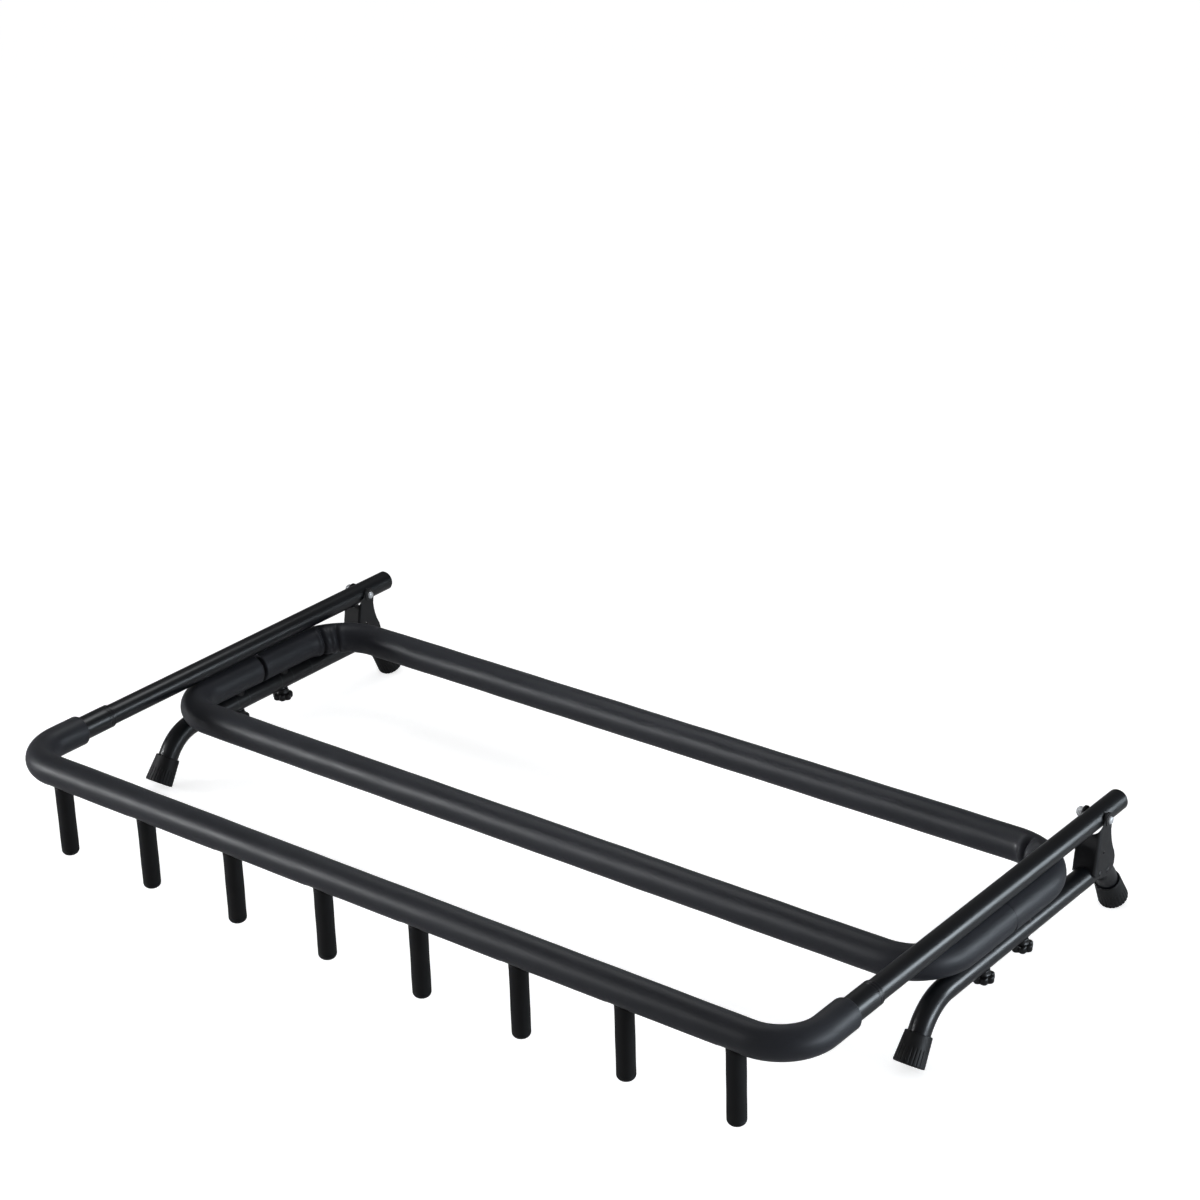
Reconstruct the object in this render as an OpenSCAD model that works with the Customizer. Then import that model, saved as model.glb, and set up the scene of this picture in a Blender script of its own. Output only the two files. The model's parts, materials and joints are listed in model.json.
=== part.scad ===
// Folding floor rack for a row of guitars: two bent side legs, a padded two-piece cradle
// bolted on top of them, and a padded peg frame that folds up and down on two pivots.
// Millimetres, +Z up, +X to the right, +Y to the back. Origin on the floor, under the middle
// of the rack's box. The frame is drawn folded down.

/* [Overall] */
// distance between the centre lines of the two side legs
rack_width = 960; // [900:10:1020]
// height of the fold pivots above the floor
pivot_height = 115; // [113:1:119]
// distance from the fold pivots to the centre line of the top bar
frame_reach = 517; // [490:1:540]
// how far the raised frame leans back from upright, in degrees
raised_lean = 10; // [8:1:12]
// how far the folded frame dips below level, in degrees
folded_dip = 0.3; // [0.2:0.1:0.4]
// steel tube wall thickness
tube_wall = 1.2; // [1:0.1:1.5]

/* [Side legs] */
// outside diameter of the leg tube
leg_d = 22; // [20:1:23]
// distance of the leg centre line below the fold pivot
leg_drop = 57.5; // [56.5:0.5:60]
// start of the front bend, in front of the pivot
leg_front = 276; // [265:1:285]
// start of the rear bend, in front of the pivot
leg_rear = 7; // [2:1:12]
// bend radius of the front end
front_bend_r = 48; // [42:1:54]
// bend radius of the rear end
rear_bend_r = 36; // [32:1:38]
// steepness of the front end below level, in degrees
front_bend_angle = 55; // [50:1:60]
// steepness of the rear end below level, in degrees
rear_bend_angle = 60; // [55:1:62]

/* [Foot caps] */
// length of a rubber foot cap
cap_l = 30; // [27:1:31]
// outside radius at the collar
cap_collar_r = 13.2; // [12.8:0.1:14]
// outside radius at the ground end
cap_foot_r = 15.2; // [14.5:0.1:16]
// number of grip ribs round the ground end
cap_ribs = 24; // [16:2:30]
// depth of the flat that each heel has on the floor
heel_flat = 0.8; // [0.5:0.1:1.2]
// thickness of the closed ground end
cap_sole = 6; // [4:1:8]

/* [Pivot brackets] */
// sheet thickness
sheet = 2; // [1.5:0.1:2.5]
// gap between a pivot ear and the upright tube
ear_gap = 0.4; // [0.3:0.1:0.8]
// gap between the raised upright and the stop face
stop_gap = 0.3; // [0.2:0.1:0.5]
// outside radius of the sheet bends
sheet_bend_r = 4; // [3:0.5:5]
// radius of the rounded top of an ear
ear_top_r = 7.5; // [7:0.5:9]
// radius of the round notch that clears the folded upright
notch_r = 13.2; // [12.5:0.1:14]
// pivot bolt shank radius
bolt_r = 3; // [2.5:0.5:3.5]
// pivot bolt head radius
bolt_head_r = 4; // [3.8:0.1:6]
// pivot bolt head height
bolt_head_h = 2.6; // [2:0.1:3.5]
// radius of the small sight hole in each ear
sight_hole_r = 1.4; // [1:0.1:2]

/* [Cradle] */
// outside diameter of the cradle tube
cradle_d = 22; // [20:1:23]
// outside diameter of the cradle foam
cradle_foam_d = 34; // [32:0.5:34.5]
// distance of the cradle centre line below the fold pivot
cradle_drop = 30; // [29.7:0.1:31]
// front run of the cradle, in front of the pivot
cradle_front = 300; // [290:1:310]
// rear run of the cradle, in front of the pivot
cradle_rear = 45; // [43:1:60]
// joint between the two cradle halves, in front of the pivot
cradle_seam = 177; // [170:1:184]
// visible gap between the two foam ends at the joint
seam_gap = 5; // [3:0.5:8]
// bend radius of the front corners
cradle_front_bend_r = 50; // [42:1:60]
// bend radius of the rear corners
cradle_rear_bend_r = 60; // [48:1:66]
// length of the reduced spigot inside each joint
spigot_l = 20; // [16:1:22]

/* [Peg frame] */
// outside diameter of the upright tube
upright_d = 22; // [20:1:22]
// length of the upright behind the pivot
tail_l = 42; // [38:1:43]
// length of upright pushed into the top bar
socket_depth = 45; // [35:1:50]
// outside diameter of the top bar tube
top_bar_d = 25; // [24.6:0.1:26]
// outside diameter of the top bar foam
top_foam_d = 32; // [30:0.5:33]
// bend radius of the top bar corners
top_bend_r = 45; // [40:1:55]
// length of the top bar arms, measured from the bar's centre line
top_arm = 121; // [115:1:126]
// length of the foam on those arms, measured the same way
top_foam_arm = 80; // [74:1:90]

/* [Pegs] */
// number of pegs
peg_count = 8; // [5:1:9]
// distance between neighbouring pegs
peg_pitch = 120; // [96:1:122]
// radius of a peg's foam sleeve
peg_r = 9.1; // [8.8:0.1:10]
// distance from the top bar's centre line to the tip of a peg
peg_l = 92; // [80:1:94]
// radius of the steel core in each peg
peg_core_r = 4; // [3:0.5:5]

/* [Clamp knobs] */
// front clamp screws, in front of the pivot
knob_front = 208; // [203:1:215]
// rear clamp screws, in front of the pivot
knob_rear = 138; // [130:1:145]
// outside radius of the knob's lobes
knob_r = 11.5; // [10:0.5:13]
// number of lobes on a knob
knob_lobes = 7; // [5:1:8]
// thickness of the lobed rim
knob_rim_h = 8; // [7:0.5:10]
// height of the knob's neck
knob_neck_h = 5; // [4:0.5:6]
// clamp screw radius
screw_r = 3; // [2.5:0.5:3.5]

/* [Hidden] */
$fn = 64;
eps = 0.01;

half_w = rack_width / 2;
leg_r = leg_d / 2;
upright_r = upright_d / 2;
cradle_r = cradle_d / 2;
cradle_foam_r = cradle_foam_d / 2;
top_bar_r = top_bar_d / 2;
top_foam_r = top_foam_d / 2;
leg_z = pivot_height - leg_drop;
cradle_z = pivot_height - cradle_drop;
running = 0.06;
snug = 0.1;

// foot caps
cap_edge = 1;
rib_depth = 0.7;
rib_start = cap_l / 2;
groove_w = 0.5;

// how far a leg's straight end sinks into its bend, and how much thinner it is there
sink_l = 1;
sink_r = 0.02;

// foot ends: the cap's lowest point is a small flat on the floor
front_foot_lean = 90 - front_bend_angle;
rear_foot_lean = 90 - rear_bend_angle;
function sole_z(lean) = cap_foot_r * sin(lean) - heel_flat;
function bend_drop(r, a) = r * (1 - cos(a));
function end_run(r, a) = (leg_z - sole_z(90 - a) - bend_drop(r, a)) / sin(a);
front_end_run = end_run(front_bend_r, front_bend_angle);
rear_end_run = end_run(rear_bend_r, rear_bend_angle);

// the box in Y, from which the origin is set
rear_sole_y = -leg_rear + rear_bend_r * sin(rear_bend_angle) + rear_end_run * cos(rear_bend_angle);
rear_reach = rear_sole_y - cap_edge * sin(rear_foot_lean) + cap_foot_r * cos(rear_foot_lean);
front_reach = frame_reach * cos(folded_dip) + top_foam_r;
pivot_y = (front_reach - rear_reach) / 2;

// bracket, measured from the pivot in the YZ plane
ear_x = upright_r + ear_gap;
stop_d = upright_r + stop_gap;
channel_depth = 44;
channel_up = 12;
channel_down = 66;
ear_outline = [[-7.2, 2], [-11.6, -2.5], [-14.6, -6], [-24, -30], [-26, -50], [-21, -54],
    [-12, -59.5], [3, -61.5], [12, -58], [15, -53], [15.8, -46], [14.2, -40], [10.6, -33],
    [8.2, -26], [6.6, -19], [5.8, -12], [7.2, -2]];
sight_hole = [-7, -33];
rivet_r = 1.6;
rivet_head_r = 3;
rivet_head_h = 1;
rivet_grip = 4;
rivets = [[-13, -53.5], [2.5, -56]];
washer_r = 6.6;
washer_h = 1;
nut_af = 10;
nut_h = 5;
nut_collar_h = 1.4;
nut_collar_r = 4.4;
bolt_tip = 1.5;
hex_round = cos(30);
head_seat_x = ear_x + sheet + washer_h;
nut_seat_x = -ear_x - sheet;
head_shoulder_r = bolt_head_r * 0.88;
head_shoulder_h = bolt_head_h * 0.8;
head_edge_h = bolt_head_h * 0.45;
head_crown_r = bolt_head_r * 0.6;
rivet_crown_r = rivet_head_r * 0.6;

// cradle joints
spigot_ro = cradle_r - tube_wall - snug;
spigot_collar_r = cradle_r - tube_wall / 2;
neck_l = 2;

// clamp screws
screw_play = 0.25;
insert_r = 4.6;
insert_h = 9;
insert_flange_r = 6;
insert_flange_h = 0.8;
saddle_r = 8;
foam_hole_r = 9;
leg_hole_r = screw_r + screw_play;
knob_boss_r = 6.5;
knob_neck_flare = 1;
knob_gap = 0.3;
knob_end_wall = 4;
screw_end_gap = 1;
knob_cup_h = 2.5;
lobe_r = 3.6;
knob_top_z = leg_z - leg_r - knob_gap;
screw_top_z = cradle_z - cradle_r + insert_h - screw_end_gap;
screw_in_knob = knob_neck_h + knob_rim_h - knob_end_wall;

// peg frame
upright_front = frame_reach - top_arm + socket_depth;
peg_tip_h = 6;
peg_core_tip = 10;
peg_core_root = upright_r - 2;
plug_bevel = 1;
plug_l = 14;
plug_flange_h = 1.5;

// ---------- helpers ----------

// moves pivot-based Y coordinates into the rack's own frame
module place()
    translate([0, pivot_y, 0])
        children();

// puts a side part, drawn at x = 0, on the left (-1) or the right (1)
module side(s)
    translate([s * half_w, 0, 0])
        children();

// peg frame coordinates: origin on the pivot line, frame lying along -Y, dipped a little
module folded()
    place()
        translate([0, 0, pivot_height])
            rotate([folded_dip, 0, 0])
                children();

module ring(ro, ri)
    difference() {
        circle(ro);
        if (ri > 0)
            circle(ri);
    }

// straight tube along +Y from y0 to y1
module run_y(y0, y1, ro, ri)
    translate([0, y1, 0])
        rotate([90, 0, 0])
            linear_extrude(y1 - y0)
                ring(ro, ri);

// straight tube along X, centred
module run_x(l, ro, ri)
    rotate([0, 90, 0])
        linear_extrude(l, center = true)
            ring(ro, ri);

// quarter bend about Z in the XY plane
module bend(r, ro, ri, a0, a)
    rotate([0, 0, a0])
        rotate_extrude(angle = a)
            translate([r, 0])
                ring(ro, ri);

// U-shaped bar in the XY plane: run along X at y = 0, arms along +Y to y = arm
module u_bar(hw, arm, r, ro, ri) {
    run_x(2 * (hw - r), ro, ri);
    for (s = [-1, 1])
        translate([s * (hw - r), r, 0])
            bend(r, ro, ri, s > 0 ? 270 : 180, 90);
    for (s = [-1, 1])
        translate([s * hw, 0, 0])
            run_y(r, arm, ro, ri);
}

// ---------- side legs ----------

// moves to the start of a leg's end run and turns +Z to point down along it
module front_end()
    translate([0, -leg_front - front_bend_r * sin(front_bend_angle),
            leg_z - bend_drop(front_bend_r, front_bend_angle)])
        rotate([180 - front_foot_lean, 0, 0])
            children();

module rear_end()
    translate([0, -leg_rear + rear_bend_r * sin(rear_bend_angle),
            leg_z - bend_drop(rear_bend_r, rear_bend_angle)])
        rotate([180 + rear_foot_lean, 0, 0])
            children();

// bend in the YZ plane, starting level at y, turning down towards dir (-1 front, 1 rear)
module leg_bend(y, r, a, dir)
    translate([0, y, leg_z - r])
        mirror([0, dir < 0 ? 1 : 0, 0])
            rotate([0, -90, 0])
                bend(r, leg_r, leg_r - tube_wall, 0, a);

// straight end of a leg, sunk a little into the wall of the bend
module end_tube(l)
    translate([0, 0, -sink_l])
        linear_extrude(l + sink_l)
            ring(leg_r - sink_r, leg_r - tube_wall + sink_r);

module leg()
    difference() {
        union() {
            translate([0, 0, leg_z])
                run_y(-leg_front, -leg_rear, leg_r, leg_r - tube_wall);
            leg_bend(-leg_front, front_bend_r, front_bend_angle, -1);
            leg_bend(-leg_rear, rear_bend_r, rear_bend_angle, 1);
            front_end()
                end_tube(front_end_run - cap_sole);
            rear_end()
                end_tube(rear_end_run - cap_sole);
        }
        for (y = [knob_front, knob_rear])
            translate([0, -y, leg_z - 2 * leg_r])
                cylinder(h = 4 * leg_r, r = leg_hole_r);
        for (p = rivets)
            translate([-2 * leg_r, p[0], pivot_height + p[1]])
                rotate([0, 90, 0])
                    cylinder(h = 4 * leg_r, r = rivet_r);
    }

module leg_left()
    color([0.07, 0.07, 0.08])
        place()
            side(-1)
                leg();

module leg_right()
    color([0.07, 0.07, 0.08])
        place()
            side(1)
                leg();

// ---------- foot caps ----------

// drawn with +Z pointing to the ground end, z = 0 at the collar
module cap()
    difference() {
        rotate_extrude()
            polygon([[0, cap_l], [cap_foot_r - cap_edge, cap_l], [cap_foot_r, cap_l - cap_edge],
                [cap_collar_r, cap_edge], [cap_collar_r - cap_edge, 0], [leg_r, 0],
                [leg_r, cap_l - cap_sole], [0, cap_l - cap_sole]]);
        for (i = [0:cap_ribs - 1])
            rotate([0, 0, i * 360 / cap_ribs])
                translate([cap_foot_r - rib_depth, -groove_w / 2, rib_start])
                    cube([2 * rib_depth + 1, groove_w, cap_l]);
    }

module floor_cut()
    translate([-cap_foot_r * 2, -2 * front_reach, -front_reach])
        cube([cap_foot_r * 4, 4 * front_reach, front_reach]);

module front_cap()
    difference() {
        front_end()
            translate([0, 0, front_end_run - cap_l])
                cap();
        floor_cut();
    }

module rear_cap()
    difference() {
        rear_end()
            translate([0, 0, rear_end_run - cap_l])
                cap();
        floor_cut();
    }

module foot_cap_front_left()
    color([0.05, 0.05, 0.05])
        place()
            side(-1)
                front_cap();

module foot_cap_front_right()
    color([0.05, 0.05, 0.05])
        place()
            side(1)
                front_cap();

module foot_cap_rear_left()
    color([0.05, 0.05, 0.05])
        place()
            side(-1)
                rear_cap();

module foot_cap_rear_right()
    color([0.05, 0.05, 0.05])
        place()
            side(1)
                rear_cap();

// ---------- pivot brackets ----------

// turns to the bracket's web: +Z up along the web, +Y from the web to the back
module web_frame()
    rotate([-raised_lean, 0, 0])
        children();

module channel_profile()
    difference() {
        translate([-ear_x - sheet, -stop_d - sheet])
            rounded_front(2 * (ear_x + sheet), channel_depth, sheet_bend_r);
        translate([-ear_x, -stop_d])
            rounded_front(2 * ear_x, channel_depth, sheet_bend_r - sheet);
    }

// rectangle with its two corners at y = 0 rounded
module rounded_front(w, d, r)
    union() {
        translate([0, r])
            square([w, d - r]);
        translate([r, 0])
            square([w - 2 * r, d]);
        for (x = [r, w - r])
            translate([x, r])
                circle(r);
    }

module ear_plate()
    union() {
        circle(ear_top_r);
        polygon(ear_outline);
    }

module bracket()
    translate([0, 0, pivot_height])
        difference() {
            intersection() {
                web_frame()
                    translate([0, 0, -channel_down])
                        linear_extrude(channel_down + channel_up)
                            channel_profile();
                rotate([90, 0, 90])
                    linear_extrude(2 * (ear_x + 2 * sheet), center = true)
                        ear_plate();
            }
            // notch that clears the folded upright
            translate([0, -ear_top_r - 1, 0])
                rotate([90, 0, 0])
                    cylinder(h = channel_depth, r = notch_r);
            // seat on the leg tube
            translate([0, channel_depth, -leg_drop])
                rotate([90, 0, 0])
                    cylinder(h = 2 * channel_depth, r = leg_r);
            rotate([0, 90, 0])
                cylinder(h = 4 * ear_x, r = bolt_r + snug, center = true);
            translate([0, sight_hole[0], sight_hole[1]])
                rotate([0, 90, 0])
                    cylinder(h = 4 * ear_x, r = sight_hole_r, center = true);
            for (p = rivets)
                translate([0, p[0], p[1]])
                    rotate([0, 90, 0])
                        cylinder(h = 4 * ear_x, r = rivet_r, center = true);
        }

module bracket_left()
    color([0.09, 0.09, 0.1])
        place()
            side(-1)
                bracket();

module bracket_right()
    color([0.09, 0.09, 0.1])
        place()
            side(1)
                bracket();

module rivet()
    rotate([0, 90, 0])
        union() {
            translate([0, 0, -rivet_grip])
                cylinder(h = rivet_grip + eps, r = rivet_r);
            cylinder(h = rivet_head_h, r1 = rivet_head_r, r2 = rivet_crown_r);
        }

module bracket_rivets()
    color([0.12, 0.12, 0.13])
        place()
            for (s = [-1, 1])
                side(s)
                    for (p = rivets, e = [0, 1])
                        mirror([e, 0, 0])
                            translate([ear_x + sheet, p[0], pivot_height + p[1]])
                                rivet();

// ---------- pivot hardware: heads to the right, nuts to the left ----------

module pivots()
    place()
        for (s = [-1, 1])
            side(s)
                translate([0, 0, pivot_height])
                    rotate([0, 90, 0])
                        children();

module pivot_bolts()
    color([0.78, 0.79, 0.8])
        pivots()
            union() {
                translate([0, 0, nut_seat_x - nut_h - nut_collar_h - bolt_tip])
                    cylinder(h = head_seat_x - nut_seat_x + nut_h + nut_collar_h + bolt_tip + eps,
                        r = bolt_r);
                translate([0, 0, head_seat_x])
                    rotate_extrude()
                        polygon([[0, 0], [bolt_head_r, 0], [bolt_head_r, head_edge_h],
                            [head_shoulder_r, head_shoulder_h],
                            [head_crown_r, bolt_head_h], [0, bolt_head_h]]);
            }

module pivot_washers()
    color([0.1, 0.1, 0.1])
        pivots()
            translate([0, 0, ear_x + sheet])
                linear_extrude(washer_h)
                    ring(washer_r, bolt_r);

module pivot_nuts()
    color([0.75, 0.76, 0.78])
        pivots()
            translate([0, 0, nut_seat_x - nut_h - nut_collar_h])
                difference() {
                    union() {
                        translate([0, 0, nut_collar_h])
                            cylinder(h = nut_h, r = nut_af / 2 / hex_round, $fn = 6);
                        cylinder(h = nut_collar_h + eps, r = nut_collar_r);
                    }
                    translate([0, 0, -1])
                        cylinder(h = nut_h + nut_collar_h + 2, r = bolt_r);
                }

// ---------- cradle ----------

module cradle_front_tube()
    color([0.07, 0.07, 0.08])
        place()
            translate([0, -cradle_front, cradle_z])
                difference() {
                    u_bar(half_w, cradle_front - cradle_seam, cradle_front_bend_r, cradle_r,
                        cradle_r - tube_wall);
                    insert_holes(cradle_front - knob_front);
                }

module cradle_rear_tube()
    color([0.07, 0.07, 0.08])
        place()
            translate([0, -cradle_rear, cradle_z])
                difference() {
                    union() {
                        mirror([0, 1, 0])
                            u_bar(half_w, cradle_seam - cradle_rear, cradle_rear_bend_r, cradle_r,
                                cradle_r - tube_wall);
                        for (s = [-1, 1])
                            side(s)
                                spigot();
                    }
                    insert_holes(cradle_rear - knob_rear);
                }

// reduced end of the rear arm that enters the front arm
module spigot()
    translate([0, cradle_rear - cradle_seam, 0])
        union() {
            run_y(-spigot_l, neck_l, spigot_ro, spigot_ro - tube_wall);
            run_y(0, neck_l, spigot_collar_r, spigot_ro - tube_wall);
        }

module insert_holes(y)
    for (s = [-1, 1])
        translate([s * half_w, y, -2 * cradle_r])
            cylinder(h = 2 * cradle_r, r = insert_r);

module cradle_foam_cuts(y_knob)
    for (s = [-1, 1])
        side(s) {
            translate([0, y_knob, -2 * cradle_foam_r])
                cylinder(h = 2 * cradle_foam_r, r = foam_hole_r);
            translate([0, front_reach / 2, cradle_drop - leg_drop])
                rotate([90, 0, 0])
                    cylinder(h = front_reach, r = leg_r + snug);
        }

module cradle_front_foam()
    color([0.11, 0.11, 0.12])
        place()
            translate([0, -cradle_front, cradle_z])
                difference() {
                    u_bar(half_w, cradle_front - cradle_seam - seam_gap / 2, cradle_front_bend_r,
                        cradle_foam_r, cradle_r);
                    cradle_foam_cuts(cradle_front - knob_front);
                }

module cradle_rear_foam()
    color([0.11, 0.11, 0.12])
        place()
            translate([0, -cradle_rear, cradle_z])
                difference() {
                    mirror([0, 1, 0])
                        u_bar(half_w, cradle_seam - cradle_rear - seam_gap / 2, cradle_rear_bend_r,
                            cradle_foam_r, cradle_r);
                    cradle_foam_cuts(cradle_rear - knob_rear);
                }

// ---------- clamp hardware ----------

module clamps()
    place()
        for (s = [-1, 1], y = [knob_front, knob_rear])
            side(s)
                translate([0, -y, 0])
                    children();

// threaded inserts riveted into the underside of the cradle tube
module cradle_inserts()
    color([0.7, 0.68, 0.6])
        clamps()
            translate([0, 0, cradle_z - cradle_r])
                difference() {
                    union() {
                        cylinder(h = insert_h, r = insert_r);
                        translate([0, 0, -insert_flange_h])
                            cylinder(h = insert_flange_h + eps, r = insert_flange_r);
                    }
                    translate([0, 0, -1])
                        cylinder(h = insert_h + 2, r = screw_r + running);
                }

// plastic saddles between the leg tube and the cradle tube
module saddle_spacers()
    color([0.08, 0.08, 0.08])
        clamps()
            difference() {
                translate([0, 0, leg_z])
                    cylinder(h = cradle_z - leg_z, r = saddle_r);
                translate([0, saddle_r * 2, leg_z])
                    rotate([90, 0, 0])
                        cylinder(h = saddle_r * 4, r = leg_r);
                translate([0, saddle_r * 2, cradle_z])
                    rotate([90, 0, 0])
                        cylinder(h = saddle_r * 4, r = cradle_r);
                translate([0, 0, leg_z])
                    cylinder(h = cradle_z - leg_z, r = leg_hole_r);
                translate([0, 0, cradle_z - cradle_r - insert_flange_h])
                    cylinder(h = cradle_r, r = insert_flange_r);
            }

module at_clamp(s, y)
    place()
        side(s)
            translate([0, -y, 0])
                children();

// star knob, drawn in place under the leg
module knob()
    translate([0, 0, knob_top_z])
        difference() {
            union() {
                translate([0, 0, -knob_neck_h - knob_rim_h])
                    linear_extrude(knob_rim_h)
                        star();
                translate([0, 0, -knob_neck_h - eps])
                    cylinder(h = knob_neck_h + eps, r1 = knob_boss_r + knob_neck_flare, r2 = knob_boss_r);
            }
            translate([0, 0, -screw_in_knob])
                cylinder(h = screw_in_knob + 1, r = screw_r);
            translate([0, 0, -knob_neck_h - knob_rim_h - 1])
                cylinder(h = knob_cup_h + 1, r = knob_boss_r);
        }

module star()
    union() {
        circle(knob_r - lobe_r);
        for (i = [0:knob_lobes - 1])
            rotate(i * 360 / knob_lobes)
                translate([knob_r - lobe_r, 0])
                    circle(lobe_r);
    }

module screw()
    translate([0, 0, knob_top_z - screw_in_knob])
        cylinder(h = screw_top_z - knob_top_z + screw_in_knob, r = screw_r);

module knob_front_left()
    color([0.04, 0.04, 0.04])
        at_clamp(-1, knob_front)
            knob();

module knob_front_right()
    color([0.04, 0.04, 0.04])
        at_clamp(1, knob_front)
            knob();

module knob_rear_left()
    color([0.04, 0.04, 0.04])
        at_clamp(-1, knob_rear)
            knob();

module knob_rear_right()
    color([0.04, 0.04, 0.04])
        at_clamp(1, knob_rear)
            knob();

module screw_front_left()
    color([0.7, 0.7, 0.72])
        at_clamp(-1, knob_front)
            screw();

module screw_front_right()
    color([0.7, 0.7, 0.72])
        at_clamp(1, knob_front)
            screw();

module screw_rear_left()
    color([0.7, 0.7, 0.72])
        at_clamp(-1, knob_rear)
            screw();

module screw_rear_right()
    color([0.7, 0.7, 0.72])
        at_clamp(1, knob_rear)
            screw();

// ---------- peg frame ----------

module upright()
    difference() {
        run_y(-upright_front, tail_l, upright_r, upright_r - tube_wall);
        rotate([0, 90, 0])
            cylinder(h = 4 * upright_r, r = bolt_r + running, center = true);
    }

module upright_left()
    color([0.07, 0.07, 0.08])
        folded()
            side(-1)
                upright();

module upright_right()
    color([0.07, 0.07, 0.08])
        folded()
            side(1)
                upright();

module tail_plug()
    union() {
        run_y(tail_l - plug_l, tail_l + eps, upright_r - tube_wall, 0);
        translate([0, tail_l, 0])
            rotate([-90, 0, 0])
                cylinder(h = plug_flange_h, r1 = upright_r, r2 = upright_r - plug_bevel);
    }

module tail_plug_left()
    color([0.05, 0.05, 0.05])
        folded()
            side(-1)
                tail_plug();

module tail_plug_right()
    color([0.05, 0.05, 0.05])
        folded()
            side(1)
                tail_plug();

module peg_row()
    for (i = [0:peg_count - 1])
        translate([(i - (peg_count - 1) / 2) * peg_pitch, 0, 0])
            children();

module top_bar_tube()
    color([0.07, 0.07, 0.08])
        folded()
            translate([0, -frame_reach, 0])
                difference() {
                    u_bar(half_w, top_arm, top_bend_r, top_bar_r, upright_r + snug);
                    peg_row()
                        translate([0, 0, -2 * top_bar_r])
                            cylinder(h = 2 * top_bar_r, r = peg_core_r);
                }

module top_bar_foam()
    color([0.11, 0.11, 0.12])
        folded()
            translate([0, -frame_reach, 0])
                difference() {
                    u_bar(half_w, top_foam_arm, top_bend_r, top_foam_r, top_bar_r);
                    peg_row()
                        translate([0, 0, -2 * top_foam_r])
                            cylinder(h = 2 * top_foam_r, r = peg_core_r);
                }

// steel studs welded into the underside of the top bar
module peg_cores()
    color([0.3, 0.3, 0.32])
        folded()
            translate([0, -frame_reach, 0])
                peg_row()
                    translate([0, 0, -peg_l + peg_core_tip])
                        cylinder(h = peg_l - peg_core_tip - peg_core_root, r = peg_core_r);

// foam sleeve of one peg, with a rounded tip and a root that fits round the bar
module peg(n)
    if (n <= peg_count)
        folded()
            translate([(n - 1 - (peg_count - 1) / 2) * peg_pitch, -frame_reach, 0])
                difference() {
                    union() {
                        translate([0, 0, -peg_l + peg_tip_h])
                            cylinder(h = peg_l - peg_tip_h, r = peg_r);
                        translate([0, 0, -peg_l])
                            rotate_extrude()
                                intersection() {
                                    union() {
                                        translate([peg_r - peg_tip_h, peg_tip_h])
                                            circle(peg_tip_h);
                                        square([peg_r - peg_tip_h, peg_tip_h]);
                                    }
                                    square([peg_r, peg_tip_h]);
                                }
                    }
                    run_x(4 * peg_r, top_foam_r, 0);
                    translate([0, 0, -peg_l + peg_core_tip])
                        cylinder(h = peg_l, r = peg_core_r);
                }

module peg_1()
    color([0.1, 0.1, 0.11])
        peg(1);

module peg_2()
    color([0.1, 0.1, 0.11])
        peg(2);

module peg_3()
    color([0.1, 0.1, 0.11])
        peg(3);

module peg_4()
    color([0.1, 0.1, 0.11])
        peg(4);

module peg_5()
    color([0.1, 0.1, 0.11])
        peg(5);

module peg_6()
    color([0.1, 0.1, 0.11])
        peg(6);

module peg_7()
    color([0.1, 0.1, 0.11])
        peg(7);

module peg_8()
    color([0.1, 0.1, 0.11])
        peg(8);

leg_left();
leg_right();
foot_cap_front_left();
foot_cap_front_right();
foot_cap_rear_left();
foot_cap_rear_right();
bracket_left();
bracket_right();
bracket_rivets();
pivot_bolts();
pivot_washers();
pivot_nuts();
cradle_front_tube();
cradle_rear_tube();
cradle_front_foam();
cradle_rear_foam();
cradle_inserts();
saddle_spacers();
upright_left();
upright_right();
tail_plug_left();
tail_plug_right();
top_bar_tube();
top_bar_foam();
peg_cores();
peg_1();
peg_2();
peg_3();
peg_4();
peg_5();
peg_6();
peg_7();
peg_8();
knob_front_left();
knob_front_right();
knob_rear_left();
knob_rear_right();
screw_front_left();
screw_front_right();
screw_rear_left();
screw_rear_right();
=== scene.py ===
"""Looks, light and camera for a folding floor rack that holds a row of guitars.

Metres, +Z up, +X to the right, +Y to the back. The frame is drawn folded down. Soft sleeves,
pegs, feet, knobs and the top bar are surfaces worked out here; the other metal parts keep the
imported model's own meshes and get their finishes here.
"""

import json
import logging
import math
from dataclasses import dataclass, field, replace
from enum import Enum

import bpy
import numpy as np
from mathutils import Matrix, Vector


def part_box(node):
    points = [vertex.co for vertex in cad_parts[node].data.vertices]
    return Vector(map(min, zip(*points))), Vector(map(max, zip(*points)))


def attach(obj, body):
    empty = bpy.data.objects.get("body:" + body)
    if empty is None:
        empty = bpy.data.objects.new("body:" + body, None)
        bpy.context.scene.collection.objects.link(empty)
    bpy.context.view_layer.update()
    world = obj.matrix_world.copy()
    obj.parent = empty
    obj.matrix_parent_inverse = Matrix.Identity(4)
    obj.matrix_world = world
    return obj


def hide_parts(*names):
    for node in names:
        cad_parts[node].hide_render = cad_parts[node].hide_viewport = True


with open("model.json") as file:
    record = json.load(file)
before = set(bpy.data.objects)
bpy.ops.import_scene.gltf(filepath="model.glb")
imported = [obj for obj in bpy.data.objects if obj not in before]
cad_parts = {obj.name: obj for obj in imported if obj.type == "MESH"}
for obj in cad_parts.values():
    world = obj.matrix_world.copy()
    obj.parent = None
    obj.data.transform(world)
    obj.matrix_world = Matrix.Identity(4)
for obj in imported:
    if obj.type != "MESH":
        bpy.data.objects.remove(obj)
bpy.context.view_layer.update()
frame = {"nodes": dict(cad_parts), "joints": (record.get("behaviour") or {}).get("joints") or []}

LOG = logging.getLogger("guitar_rack")
MM = 0.001
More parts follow.
